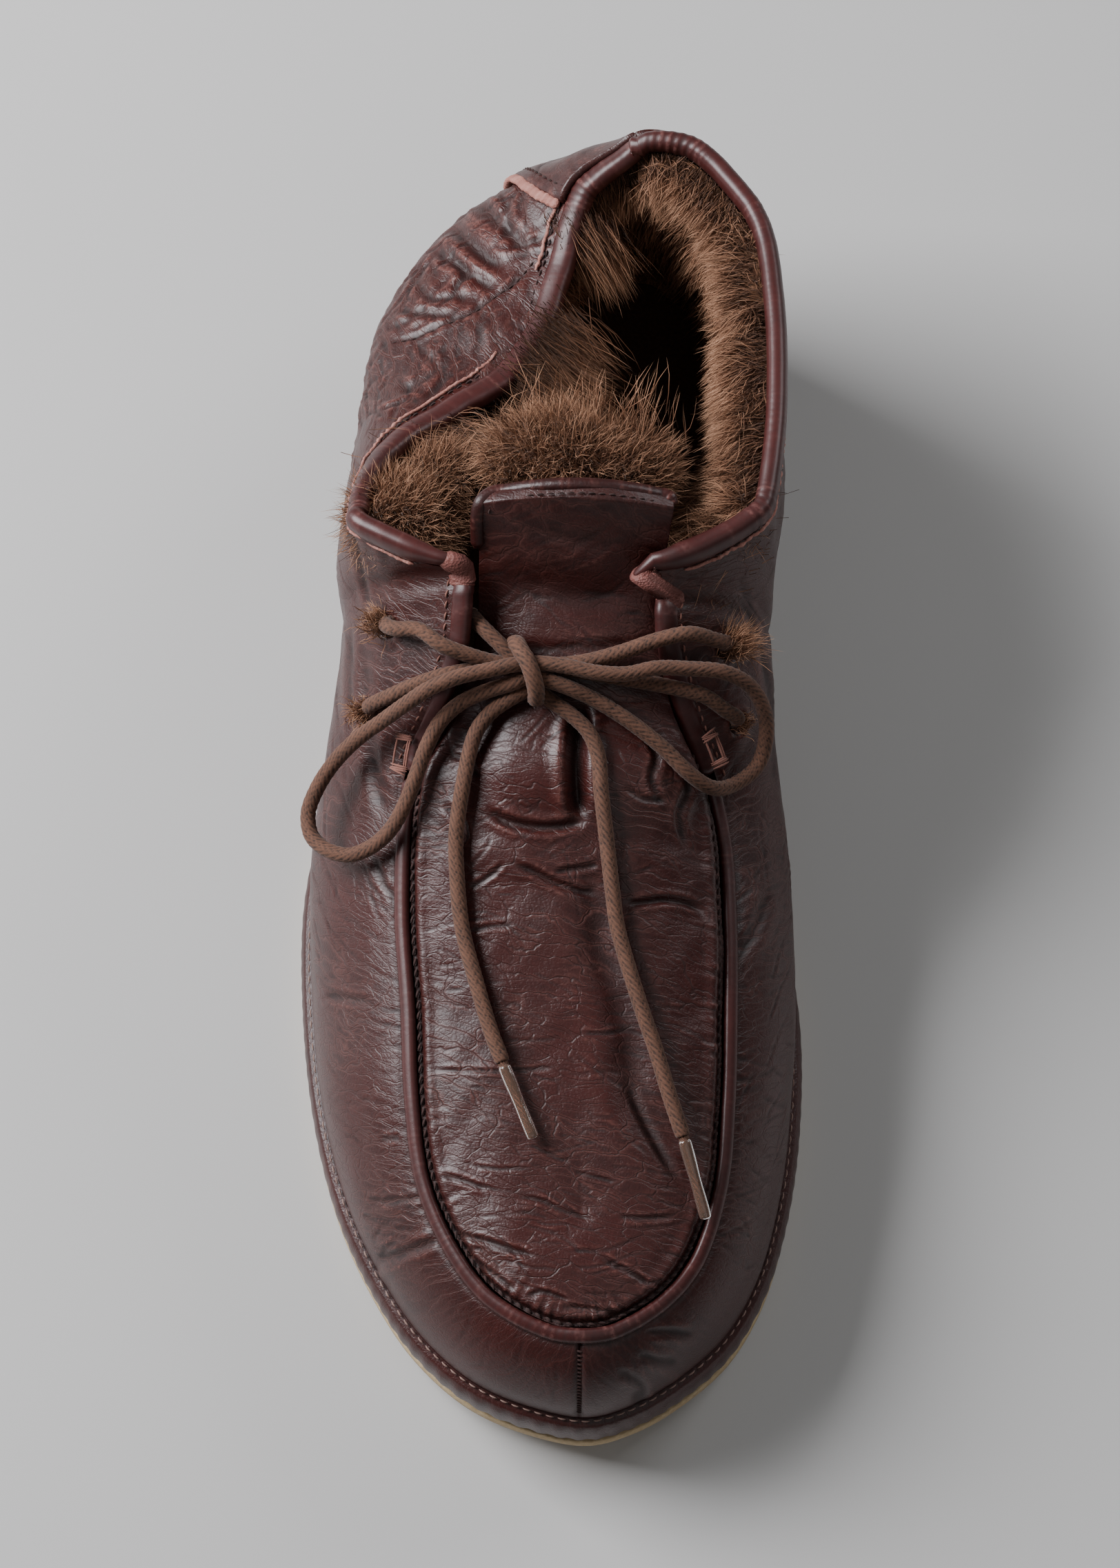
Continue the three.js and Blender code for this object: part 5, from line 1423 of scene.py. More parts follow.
def soften(values, reach):
    """Running mean along the first axis, with the ends kept."""
    padded = np.concatenate([np.repeat(values[:1], reach, 0), values, np.repeat(values[-1:], reach, 0)])
    total = np.cumsum(np.concatenate([np.zeros_like(padded[:1]), padded]), axis=0)
    return (total[2 * reach + 1 :] - total[: -2 * reach - 1]) / (2 * reach + 1)


def oval_roll(name, centre, rise, out, half_rise, half_out, material, nodes=(), wrinkle=0.1,
              sides=20, seed=1.0, fade=0.0):
    """Sweeps an oval with cross wrinkles along a line of centres."""
    run = run_of(centre)
    angle = around(sides)[None, :]
    way = unit(np.gradient(centre, axis=0))
    turning = np.linalg.norm(np.gradient(way, axis=0), axis=1) / np.gradient(run)
    tight = (0.3 + np.clip(soften(turning[:, None], 6)[:, 0] * 20, 0, 1.3))[:, None]
    r = run[:, None]
    fine_wave = np.sin(r * 2 * math.pi / 1.7 + 2.4 * np.sin(r / 3.3 + seed) + 0.9 * np.sin(angle + seed))
    broad_wave = np.sin(r * 2 * math.pi / 6.7 + 1.9 * np.sin(r / 9 + seed) + angle)
    height = tight * (0.6 * fine_wave * (0.6 + 0.4 * np.sin(r / 4.1 + seed)) + 0.4 * broad_wave)
    end = np.clip(np.minimum(run, run[-1] - run) / half_out, 0.2, 1)
    slim = mix(1, ease(np.minimum(run, run[-1] - run), 0, 12), fade)
    size = (np.sqrt(1 - (1 - end) ** 2) * slim)[:, None]
    c, s = np.cos(angle), np.sin(angle)
    c = np.sign(c) * np.abs(c) ** (2 / OVAL_POWER)
    s = np.sign(s) * np.abs(s) ** (2 / OVAL_POWER)
    a = (half_out * size + wrinkle * height) * c
    b = (half_rise * size + wrinkle * height) * s
    points = centre[:, None] + a[..., None] * out[:, None] + b[..., None] * rise[:, None]
    faces = tube_faces(len(centre), sides)
    flip = np.cross(out[0], rise[0]) @ way[0] < 0
    heap = Heap()
    faces = [f[::-1] for f in faces] if flip else faces
    # fold paints shade in the wrinkles' troughs and paler crests on them
    heap.add(points, faces, fold=0.4 * height, **NO_CRACKS)
    made(name, heap, material, nodes)


def edging(name, start, stop, low, high, half_out, nodes, wrinkle, proud=0.0, sides=20, seed=1.0,
           fade=0.0, material=rolled):
    """A rolled edge that wraps from a low to a high place over the rim."""
    count = int(abs(stop - start) * OUTLINE_LENGTH / EDGE_STEP)
    top, rise, out = rim_frame(np.linspace(start, stop, count))
    centre = top + rise * (low + high) / 2 + out * proud
    oval_roll(name, centre, rise, out, (high - low) / 2, half_out, material, nodes,
              wrinkle, sides, seed, fade=fade)


edging("collar_roll", CORNER_MEDIAL + 0.0005, 1 + CORNER_LATERAL - 0.0005, -1.6, 4.5, 2.3,
       ["collar_binding"], 0.075, sides=24, fade=0.45)
edging("apron_piping_cord", FACING_FOOT_LATERAL + 0.002, FACING_FOOT_MEDIAL - 0.002, -0.2, 3.05, 1.25,
       ["apron_piping"], 0.035, proud=1.1, seed=2.0)
edging("facing_roll_lateral", CORNER_LATERAL + 0.001, FACING_FOOT_LATERAL, -1.5, 3.1, 1.8,
       ["facing_binding_lateral"], 0.1, seed=3.0)
edging("facing_roll_medial", CORNER_MEDIAL - 0.001, FACING_FOOT_MEDIAL, -2.3, 3.1, 1.9,
       ["facing_binding_medial"], 0.1, seed=4.0)

# Frayed raw leather at the facings' upper corners
edging("frayed_corner_lateral", CORNER_LATERAL - 0.002, CORNER_LATERAL + 0.0085, -2.6, 3.2, 2.0, (), 0.22,
       proud=0.1, seed=5.0, material=frayed)
edging("frayed_corner_medial", CORNER_MEDIAL + 0.002, CORNER_MEDIAL - 0.0085, -3.0, 3.2, 2.05, (), 0.25,
       proud=0.1, seed=6.0, material=frayed)


# %% Places on the skin
def skin_points(share, below, lift=0.0):
    """Places on the upper's face at distances below its rim, with normals. Inputs are (n)."""
    share, below = np.asarray(share, float), np.asarray(below, float)
    wall = chart_of(face(share, np.linspace(0, 1, 40)))[:, -1]
    ups = (1 - below / wall)[:, None]
    out = normal(share, ups)[:, 0]
    return face(share, ups)[:, 0] + out * lift, out


def raw_strip(name, share, below, half_width, seed):
    """A thin frayed cut edge along the skin."""
    place_at, out = skin_points(share, below, 0.25)
    way = unit(np.gradient(place_at, axis=0))
    side = unit(np.cross(way, out))
    rng = np.random.default_rng(seed)
    shake = soften(rng.normal(size=(len(share), 1)), 2) * 0.18
    oval_roll(name, place_at + side * shake, side, out, half_width, 0.34, raw_edge, (),
              0.2, 10, seed)


RAW_STRETCHES = {
    "medial": (CORNER_MEDIAL + 0.004, CORNER_MEDIAL + 0.075),
    "heel": (0.985, 1.062),
    "lateral": (1 + CORNER_LATERAL - 0.115, 1 + CORNER_LATERAL - 0.004),
}
RAW_STEPS = 160
RAW_BELOW = 3.2
for k, (where, (start, stop)) in enumerate(RAW_STRETCHES.items()):
    stretch = np.linspace(start, stop, RAW_STEPS)
    raw_strip("collar_raw_edge_" + where, stretch, np.full(RAW_STEPS, RAW_BELOW), 0.38, 5 + 10 * k)

# %% [markdown]
# The heel patch is a strip laid up the back, over the join of the two halves. Its front edge is cut
# raw, and the pale flesh side of the leather shows there.

# %% Heel patch
PATCH_HALF = 0.037
PATCH_COLUMNS = 90
PATCH_ROWS = 80


def patch_place(across, ups):
    """Face points and normals of the patch; across runs from -1 to 1 over its width at a height."""
    across, ups = np.broadcast_arrays(np.asarray(across, float), np.asarray(ups, float))
    half = PATCH_HALF * mix(0.74, 1.05, ease(ups, 0.45, 1.0))
    share, up = (across * half).ravel(), ups.reshape(-1, 1)
    shape = across.shape + (3,)
    return face(share, up)[:, 0].reshape(shape), normal(share, up)[:, 0].reshape(shape)


patch_across = np.linspace(-1, 1, PATCH_COLUMNS)
patch_share = patch_across * PATCH_HALF
patch_ups = np.linspace(0.02, 0.985, PATCH_ROWS)
patch_plain, patch_out = patch_place(patch_across[:, None], patch_ups[None, :])
edge_fall = np.minimum(1, np.abs(np.abs(patch_share) - PATCH_HALF) * OUTLINE_LENGTH / 1.2) ** 0.5
patch_lift = 0.35 + 1.35 * edge_fall[:, None] + 0.25 * ripple(patch_plain, 16, 14)
patch_fold = 0.25 * ripple(patch_plain, 5, 15)
patch_relief, patch_crease = np.zeros(patch_plain[..., 0].size), np.zeros(patch_plain[..., 0].size)
patch_chart = np.stack([
    np.broadcast_to((patch_share * OUTLINE_LENGTH)[:, None], patch_plain.shape[:2]).ravel(),
    chart_of(patch_plain).ravel(),
], 1)
patch_rng = np.random.default_rng(17)
for _ in range(46):
    start = (patch_rng.uniform(-22, 22), patch_rng.uniform(10, 85))
    line = wander(patch_rng, start, patch_rng.normal(1.2, 0.4), patch_rng.uniform(6, 20), 0.2)
    press(patch_relief, patch_crease, patch_chart, line, patch_rng.uniform(0.08, 0.3), 0.6)
patch_lift = patch_lift + patch_relief.reshape(patch_lift.shape)
patch_fold = patch_fold + patch_crease.reshape(patch_lift.shape)
patch_top = patch_plain + patch_out * patch_lift[..., None]
patch_low = patch_plain - patch_out * 0.4
heel_patch = Heap()
values = {"with": patch_chart[:, 1], "cross": patch_chart[:, 0], "flexed": 0.6}
heel_patch.add(patch_top, grid_faces(PATCH_COLUMNS, PATCH_ROWS, flip=True), fold=patch_fold, **values)
# The underside carries fold -0.3, a painted shade over it
heel_patch.add(patch_low, grid_faces(PATCH_COLUMNS, PATCH_ROWS), fold=-0.3, **values)
close_wall(heel_patch, PATCH_COLUMNS, PATCH_ROWS, flip=True)
made("heel_patch", heel_patch, oxblood, ["heel_counter"])

patch_edge_ups = np.linspace(0.05, 0.97, 170)


def patch_edge(name, across, half_width, lift, seed):
    place_at, out = patch_place(across, patch_edge_ups)
    way = unit(np.gradient(place_at, axis=0))
    side = unit(np.cross(way, out))
    oval_roll(name, place_at + out * lift, side, out, half_width, 0.7, raw_edge, (),
              0.18, 12, seed)


patch_edge("patch_front_edge", 1.02, 1.25, 0.9, 6)
patch_edge("patch_rear_edge", -1.01, 0.7, 0.7, 7)

# %% [markdown]
# The tongue's end is bound like the collar, but finer and darker. Its outer corner is turned down
# in a small round.

# %% Tongue's rolled end
TONGUE_ROLL = 1.25
edge_down = np.linspace(1, 0, 60) ** 2
tongue_edge = [(TONGUE_TIP + 0.034 * back, 0.0) for back in edge_down]
tongue_edge += [(TONGUE_TIP, across) for across in np.linspace(0.01, 0.99, 90)]
tongue_edge += [(TONGUE_TIP + 0.008 * back, 1.0) for back in edge_down[::-1]]
tongue_line = np.array([apron_points([at], [across])[0, 0] for at, across in tongue_edge])
tongue_line = soften(even_line(tongue_line, 0.5), 2)
tongue_way = unit(np.gradient(tongue_line, axis=0))
tongue_up = np.tile(unit(np.array([0, 0.25, 1.0])), (len(tongue_line), 1))
tongue_up = unit(tongue_up - tongue_way * (tongue_up * tongue_way).sum(1, keepdims=True))
tongue_rise = unit(np.cross(tongue_up, tongue_way))
if tongue_rise[len(tongue_rise) // 2, 1] < 0:
    tongue_rise = -tongue_rise
oval_roll("tongue_roll", tongue_line + tongue_rise * 0.3 - tongue_up * 0.75, tongue_rise, tongue_up,
          1.5, TONGUE_ROLL + 0.35, oxblood, ["tongue_binding"], 0.05, 18, 8.0)

# %% [markdown]
# The platform is a light core with a strip of the same leather pulled round it. Its side bulges
# softly, and the strip gathers a little at the toe. The outsole is a thin slab of tan crepe that
# shows as a sliver.

# %% Wrapped platform and outsole
SOLE_COLUMNS = 620


def platform_low(y):
    return ground(y) + OUTSOLE + GAP


def sole_slab(name, rings, material, node, relief_at=None):
    """Slab that follows the outline: rings of an outward move and a height, bottom to top."""
    share = np.arange(SOLE_COLUMNS) / SOLE_COLUMNS
    layers = []
    for level, (out, top) in enumerate(rings):
        extra = relief_at(share, level) if relief_at else 0.0
        plan = rim(share, np.full(SOLE_COLUMNS, float(out)) + extra)
        layers.append(np.column_stack([plan, top(plan[:, 1])]))
    layers = np.array(layers)
    heap = Heap()
    levels = len(rings)
    run = np.broadcast_to(share * OUTLINE_LENGTH, (levels, SOLE_COLUMNS))
    rise = np.broadcast_to(np.arange(levels)[:, None] * 1.2, (levels, SOLE_COLUMNS))
    heap.add(layers, grid_faces(levels, SOLE_COLUMNS, wrap=True), fold=0,
             **{"with": rise, "cross": run, "flexed": 0.35})
    heap.faces.append(list(range(SOLE_COLUMNS))[::-1])
    heap.faces.append([(levels - 1) * SOLE_COLUMNS + k for k in range(SOLE_COLUMNS)])
    made(name, heap, material, [node])


def gathered(share, level):
    """Small waves of the wrapped strip, strongest round the toe."""
    run = share * OUTLINE_LENGTH
    toe = bell(share, 0.5, 0.09)
    wave = np.sin(run * 2 * math.pi / 4.3 + 2 * np.sin(run / 11)) * (0.05 + 0.14 * toe)
    return (wave + 0.12 * np.sin(run / 23 + 1)) * (1.0 if 1 < level < 11 else 0.2)


platform_rings = []
for k in range(13):
    t = k / 12
    bulge_out = 0.75 * math.sin(math.pi * t) ** 0.6 - 0.6 * (1 - math.sin(math.pi * t)) ** 2
    platform_rings.append((bulge_out, lambda y, t=t: platform_low(y) + PLATFORM * t))
sole_slab("wrapped_platform", platform_rings, oxblood, "wrapped_midsole", gathered)

crepe, crepe_tree, crepe_shader = material_of("tan crepe", Roughness=0.75)
crumb = noise(crepe_tree, object_place(crepe_tree), 0.9, 5.0)
crepe_colour = blend_colours(crepe_tree, crumb.outputs[0], colour(150, 126, 92), colour(206, 184, 146))
crepe_tree.links.new(crepe_colour, crepe_shader.inputs["Base Color"])
bumped(crepe_tree, crepe_shader, crumb.outputs[0], 0.6, 0.4)
outsole_rings = [
    (-0.8, ground), (0.1, lambda y: ground(y) + 0.3), (0.4, lambda y: ground(y) + 1),
    (0.45, lambda y: ground(y) + 2.2), (0.4, lambda y: ground(y) + OUTSOLE - 0.3),
    (0.1, lambda y: ground(y) + OUTSOLE),
]
sole_slab("crepe_outsole", outsole_rings, crepe, "outsole")

# %% [markdown]
# Thread is laid as single stitches: a short capsule that dips into its holes at both ends. One
# function makes any row from places, ways and normals, and each row is one object.

# %% Stitches
STITCH_SIDES = 6
STITCH_RINGS = 5


def stitches(heap, places, ways, outs, length, radius, slant=0.0):
    """Adds capsules at places, along ways, standing a little proud of the skin."""
    ways = unit(ways)
    across = unit(np.cross(ways, outs))
    ways = unit(ways + across * slant)
    t = np.linspace(-1, 1, STITCH_RINGS)
    width = radius * np.array([0.45, 0.9, 1.0, 0.9, 0.45])
    sunk = -radius * 1.1 * np.array([1.0, 0.25, 0.0, 0.25, 1.0])
    reach = (t * length / 2)[None, :, None]
    line = places[:, None] + ways[:, None] * reach + outs[:, None] * sunk[None, :, None]
    angle = around(STITCH_SIDES)
    across = unit(np.cross(ways, outs))
    ring = across[:, None, None] * np.cos(angle)[None, None, :, None]
    ring = ring + outs[:, None, None] * np.sin(angle)[None, None, :, None]
    points = line[:, :, None] + ring * width[None, :, None, None]
    one = np.array(tube_faces(STITCH_RINGS, STITCH_SIDES)[:-2])
    count = len(places)
    each = STITCH_RINGS * STITCH_SIDES
    offset = (np.arange(count) * each)[:, None, None]
    heap.add(points, (one[None] + offset).reshape(-1, 4))
    start = heap.count - count * each
    for base in range(start, heap.count, each):
        heap.faces.append(list(range(base, base + STITCH_SIDES))[::-1])
        heap.faces.append(list(range(base + each - STITCH_SIDES, base + each)))


def stitch_row(name, line, outs, pitch, length, radius, thread, slant=0.0):
    """A row of stitches along a dense line with normals."""
    run = run_of(line)
    at = np.arange(pitch / 2, run[-1], pitch)
    places = np.stack([np.interp(at, run, line[:, k]) for k in range(3)], 1)
    ways = np.stack([np.interp(at, run, np.gradient(line[:, k], run)) for k in range(3)], 1)
    normals = unit(np.stack([np.interp(at, run, outs[:, k]) for k in range(3)], 1))
    heap = Heap()
    stitches(heap, places, ways, normals, length, radius, slant)
    made(name, heap, thread)


# Welt seam: pale thread where the upper meets the platform
WELT_STEPS = 1400
welt_share = np.linspace(0, 1, WELT_STEPS)
welt_plan = rim(welt_share, np.full(WELT_STEPS, -FEATHER_INSET + 0.55))
welt_line = np.column_stack([welt_plan, feather(welt_plan[:, 1]) + 0.55])
welt_out = np.column_stack([rim(welt_share, 1.0) - rim(welt_share, 0.0), np.full(WELT_STEPS, 1.1)])
stitch_row("welt_thread", welt_line, unit(welt_out), 2.6, 1.8, 0.2, thread_pale)

# Apron seam: dark thread in the groove beside the piping
seam_inset = SEAM_BACK + 0.85
seam_plan = throat - throat_out * seam_inset
seam_keep = station_of(seam_plan[:, 1]) > 0.505
seam_plan = even_line(seam_plan[seam_keep], 0.5)
seam_line = np.column_stack([seam_plan, height_over(seam_plan[:, 0], seam_plan[:, 1]) - 0.75])
stitch_row("apron_thread", seam_line, np.tile(UPWARDS, (len(seam_line), 1)), 2.3, 1.7, 0.3, thread_dark,
           slant=0.35)

# Facings, collar, heel patch and toe: rows at a distance below the rim or beside a seam
FACING_STEPS = 160
COLLAR_STEPS = 900
for name, start, stop in (
    ("facing_thread_lateral", CORNER_LATERAL + 0.002, FACING_FOOT_LATERAL),
    ("facing_thread_medial", CORNER_MEDIAL - 0.002, FACING_FOOT_MEDIAL),
):
    row_share = np.linspace(start, stop, FACING_STEPS)
    line, outs = skin_points(row_share, np.full(FACING_STEPS, 2.6), 0.12)
    stitch_row(name, line, outs, 2.4, 1.7, 0.26, thread_pink, slant=0.15)
collar_shares = np.linspace(CORNER_MEDIAL + 0.004, 1 + CORNER_LATERAL - 0.004, COLLAR_STEPS)
line, outs = skin_points(collar_shares, np.full(COLLAR_STEPS, 2.15), 0.1)
stitch_row("collar_thread", line, outs, 2.5, 1.6, 0.22, thread_dark)
toe_ups = np.linspace(0.12, 0.93, 120)
line, outs = face([TOE_SEAM], toe_ups)[0], normal([TOE_SEAM], toe_ups)[0]
toe_across = unit(np.cross(np.gradient(line, axis=0), outs))
toe_heap = Heap()
toe_pick = np.arange(3, 118, 6)
toe_outs = outs[toe_pick]
stitches(toe_heap, line[toe_pick] - toe_outs * 0.35, toe_across[toe_pick], toe_outs, 1.7, 0.24, 0.3)
made("toe_seam_thread", toe_heap, thread_dark)
patch_row, patch_row_out = patch_place(0.86, patch_edge_ups)
stitch_row("patch_thread", patch_row + patch_row_out * 1.85, patch_row_out, 2.4, 1.6, 0.25, thread_dark)
row_line = tongue_line - tongue_rise * 2.3 + tongue_up * 0.1
stitch_row("tongue_thread", row_line, tongue_up, 2.2, 1.5, 0.22, thread_dark)


# %% Heel seam line and bar tacks
def on_skin(skin, plan, rows_from):
    """Nearest places of a skin grid's upper rows to places in plan, raised a little."""
    part = skin[:, rows_from:].reshape(-1, 3)
    found = []
    for p in plan:
        d = np.linalg.norm(part[:, :2] - p, axis=1)
        k = np.argsort(d)[:4]
        w = 1 / (d[k] + 0.05)
        found.append((part[k] * w[:, None]).sum(0) / w.sum())
    return soften(np.array(found), 2)


heel_plan = even_line(smooth_line(HEEL_CREASES[0][2]), 0.7)
heel_line = on_skin(lateral_skin, heel_plan, int(UPPER_ROWS * 0.45))
heel_out = np.tile([-0.3, 0, 1.0], (len(heel_line), 1))
stitch_row("heel_thread", heel_line + 0.1 * UPWARDS, heel_out, 2.3, 1.5, 0.24, thread_dark)

# Bar tacks at the facings' feet: centres of the upper and lower bar
TACKS = {
    "bar_tack_lateral": [(-36.4, -106.4, 72.4), (-37.4, -112.6, 69.4)],
    "bar_tack_medial": [(28.6, -103.4, 69.6), (31, -108.4, 66.6)],
}
tack_rng = np.random.default_rng(8)
for name, bars_at in TACKS.items():
    heap = Heap()
    upper_bar, lower_bar = np.array(bars_at, float)
    down = unit(lower_bar - upper_bar)
    out = unit(np.array([0.5 * np.sign(upper_bar[0]), 0, 1.0]))
    out = unit(out - down * (out @ down))
    across = np.cross(down, out)
    for centre in (upper_bar, lower_bar):
        for k in range(4):
            at = centre + down * (k - 1.5) * 0.42 + out * 0.7 + tack_rng.normal(0, 0.08, 3)
            way = across + down * tack_rng.normal(0, 0.1)
            stitches(heap, at[None], way[None], out[None], 4.4, 0.26)
    for side in (-1.7, -1.2, 1.6):
        middle = (upper_bar + lower_bar) / 2 + across * side + out * 0.55
        stitches(heap, middle[None], down[None], out[None], np.linalg.norm(lower_bar - upper_bar) + 1, 0.27)
    made(name, heap, thread_pink)

# %% [markdown]
# The lining is a long-haired pile. From above it is seen as a thick brown roll inside the collar,
# with hairs that lean inwards and down and gather into locks. It is built in two layers: a lumpy
# undercoat that keeps the form of the solid below, and over it tens of thousands of fine tapered
# strips. Particle hair would not be exported, so each hair is a strip of mesh.

# %% Fur material
fur, fur_tree, fur_shader = material_of(
    "brown fur", Roughness=0.7, Specular_IOR_Level=0.3, Sheen_Weight=0.12, Sheen_Roughness=0.4,
)
along_hair, hair_tone = attribute(fur_tree, "along"), attribute(fur_tree, "tone")
from_root = remap(fur_tree, along_hair, 0.0, 0.55)
to_tip = remap(fur_tree, along_hair, 0.5, 1.0)
rooted = blend_colours(fur_tree, from_root, colour(70, 46, 33), colour(148, 106, 80))
tipped = blend_colours(fur_tree, to_tip, rooted, colour(202, 160, 130))
toned = blend_colours(fur_tree, hair_tone, colour(166, 152, 142), colour(255, 250, 246))
hair_colour = blend_colours(fur_tree, 1.0, tipped, toned, kind="MULTIPLY")
fur_tree.links.new(hair_colour, fur_shader.inputs["Base Color"])

undercoat, under_tree, under_shader = material_of("fur undercoat", Roughness=0.95, Specular_IOR_Level=0.2)
under_at = object_place(under_tree)
tangle = noise(under_tree, under_at, 1.6, 6.0)
lump = noise(under_tree, under_at, 0.25, 3.0)
mixed = math_of(under_tree, "MULTIPLY", tangle.outputs[0], lump.outputs[0])
paler = remap(under_tree, mixed, 0.15, 0.38)
wool = blend_colours(under_tree, paler, colour(60, 39, 28), colour(132, 94, 69))
under_tree.links.new(wool, under_shader.inputs["Base Color"])
bumped(under_tree, under_shader, tangle.outputs[0], 0.9, 0.8)

# %% Hair strips
HAIR_WIDTH = 0.165
HAIR_STEPS = np.array([0, 0.33, 0.67, 1.0])
NEAREST_AT_ONCE = 4000


def hair_strips(name, roots, ways, lengths, rng, droop, pale, clump_size=18, clump=0.4, curl=0.5):
    """Tapered strips from roots along ways, gathered into locks at their tips."""
    n = len(roots)
    ways = unit(ways)
    t = HAIR_STEPS[None, :, None]
    side = unit(np.cross(ways, rng.normal(size=(n, 3))))
    other = np.cross(ways, side)
    line = roots[:, None] + ways[:, None] * lengths[:, None, None] * t
    line[..., 2] -= droop * lengths[:, None] * HAIR_STEPS[None, :] ** 2
    phase = rng.uniform(0, ANY_PHASE, (n, 1, 1))
    coil = side[:, None] * np.sin(phase + 4.2 * t) + other[:, None] * np.cos(phase + 3.1 * t)
    line = line + curl * coil * t
    centres = rng.choice(n, max(2, n // clump_size), replace=False)
    nearest = np.empty(n, int)
    for start in range(0, n, NEAREST_AT_ONCE):
        some = slice(start, start + NEAREST_AT_ONCE)
        d = ((roots[some, None] - roots[None, centres]) ** 2).sum(-1)
        nearest[some] = centres[d.argmin(1)]
    pulled = clump * rng.uniform(0.3, 1.2, (n, 1, 1)) * t**1.3
    line = line + (line[nearest] - line) * np.minimum(pulled, 0.9)
    flat = unit(np.cross(line[:, -1] - line[:, 0], side))
    taper = HAIR_WIDTH * np.array([0.5, 0.5, 0.34])
    left = line[:, :3] - flat[:, None] * taper[None, :, None]
    right = line[:, :3] + flat[:, None] * taper[None, :, None]
    points = np.concatenate([np.stack([left, right], 2).reshape(n, 6, 3), line[:, 3:]], 1)
    base = (np.arange(n) * 7)[:, None]
    quads = np.concatenate([base + [0, 1, 3, 2], base + [2, 3, 5, 4]])
    tips = base + [4, 5, 6]
    lock_tone = rng.uniform(0, 1, n)[nearest]
    tone = np.clip(pale + 0.3 * (lock_tone - 0.5) + rng.normal(0, 0.2, n), 0, 1)
    heap = Heap()
    heap.add(points, quads, along=np.tile([0, 0, 0.33, 0.33, 0.67, 0.67, 1.0], n), tone=np.repeat(tone, 7))
    heap.faces.extend(tips.tolist())
    return made(name, heap, fur)


# %% Pile of the lining
FUR_FOOT = 0.07
FUR_FROM = CORNER_MEDIAL
FUR_TO = 1 + CORNER_LATERAL
FUR_BACK = WALL + GAP * 2.2


def fur_ends(share, fade):
    return ease(np.minimum(share - FUR_FROM, FUR_TO - share), 0, fade)


def fur_depth(share, up):
    deep = mix(FUR_THIN, FUR_DEEP, ease(up, 0.1, 0.75)) - 4 * ease(up, 0.85, 1)
    return deep * mix(0.55, 1, fur_ends(share, 0.05))


def fur_top(share):
    return mix(0.88, 1, fur_ends(share, 0.025))


def pile_place(share, up, depth_share):
    """Places in the pile: share of the outline, share up the wall, share of the pile's depth."""
    up = up * fur_top(share)
    depth = FUR_BACK + fur_depth(share, up) * depth_share
    inwards = -normal(share, up[:, None])[:, 0]
    return face(share, up[:, None])[:, 0] + inwards * depth[:, None], inwards


UNDERCOAT_COLUMNS = 150
UNDERCOAT_ROWS = 28
coat_share = np.linspace(FUR_FROM + 0.002, FUR_TO - 0.002, UNDERCOAT_COLUMNS)
coat_up = np.linspace(FUR_FOOT, 0.985, UNDERCOAT_ROWS)
share_grid, up_grid = [g.ravel() for g in np.meshgrid(coat_share, coat_up, indexing="ij")]
coat_outer, _ = pile_place(share_grid, up_grid, np.zeros(share_grid.size))
coat_inner, coat_inwards = pile_place(share_grid, up_grid, np.full(share_grid.size, 0.62))
coat_inner += coat_inwards * (0.9 * ripple(coat_inner, 11, 41) + 0.5 * ripple(coat_inner, 4.5, 42))[:, None]
undercoat_heap = Heap()
undercoat_heap.add(coat_outer, grid_faces(UNDERCOAT_COLUMNS, UNDERCOAT_ROWS, flip=True))
undercoat_heap.add(coat_inner, grid_faces(UNDERCOAT_COLUMNS, UNDERCOAT_ROWS))
close_wall(undercoat_heap, UNDERCOAT_COLUMNS, UNDERCOAT_ROWS)
made("lining_undercoat", undercoat_heap, undercoat, ["fur_lining"])


def lining_hairs(name, start, stop, count, seed, toe_lean, lengths, down_lean=0.8, pale=0.5):
    """Hairs of one stretch of the lining: on its top, where they lean over, and down its inside."""
    rng = np.random.default_rng(seed)
    share = rng.uniform(start, stop, count)
    on_top = rng.uniform(size=count) < 0.6
    up = np.where(on_top, rng.uniform(0.93, 1.015, count), 1 - 0.85 * rng.beta(1.1, 1.9, count))
    depth_share = np.where(on_top, rng.uniform(-0.04, 0.7, count), rng.uniform(0.35, 0.65, count))
    roots, inwards = pile_place(share, up, depth_share)
    low = face(share, (up - 0.04)[:, None])[:, 0]
    down = unit(low - face(share, up[:, None])[:, 0])
    swirl = ripple(roots, 17, seed + 1)[:, None]
    sway = ripple(roots, 8, seed + 2)[:, None]
    toe = np.array([0, -1.0, 0])
    leaning = np.where(on_top, 0.05, down_lean)[:, None]
    ways = inwards * 0.75 + down * leaning + toe * (toe_lean + 0.4 * swirl)
    ways = ways + np.array([0.4, 0.1, 0.15]) * sway + rng.normal(0, 0.24, (count, 3))
    reach = rng.uniform(lengths[0], lengths[1], count) * mix(1, 0.75, on_top * (depth_share < 0.1))
    hair_strips(name, roots, ways, reach, rng, 0.25, pale)


REAR = 1.0
lining_hairs("lining_hair_medial", FUR_FROM + 0.002, REAR - 0.1, 16000, 51, 0.4, (6.5, 11), pale=0.62)
lining_hairs("lining_hair_heel", REAR - 0.1, REAR - 0.02, 7500, 55, 0.1, (5.5, 9), pale=0.5)
lining_hairs("lining_hair_rear", REAR - 0.02, REAR + 0.045, 6000, 52, 0.0, (5, 8), pale=0.42)
lining_hairs("lining_hair_fold", REAR + 0.045, REAR + 0.115, 7000, 53, 0.1, (8, 14), down_lean=1.0)
lining_hairs("lining_hair_lateral", REAR + 0.115, FUR_TO - 0.002, 7500, 54, 0.1, (6, 11), pale=0.5)

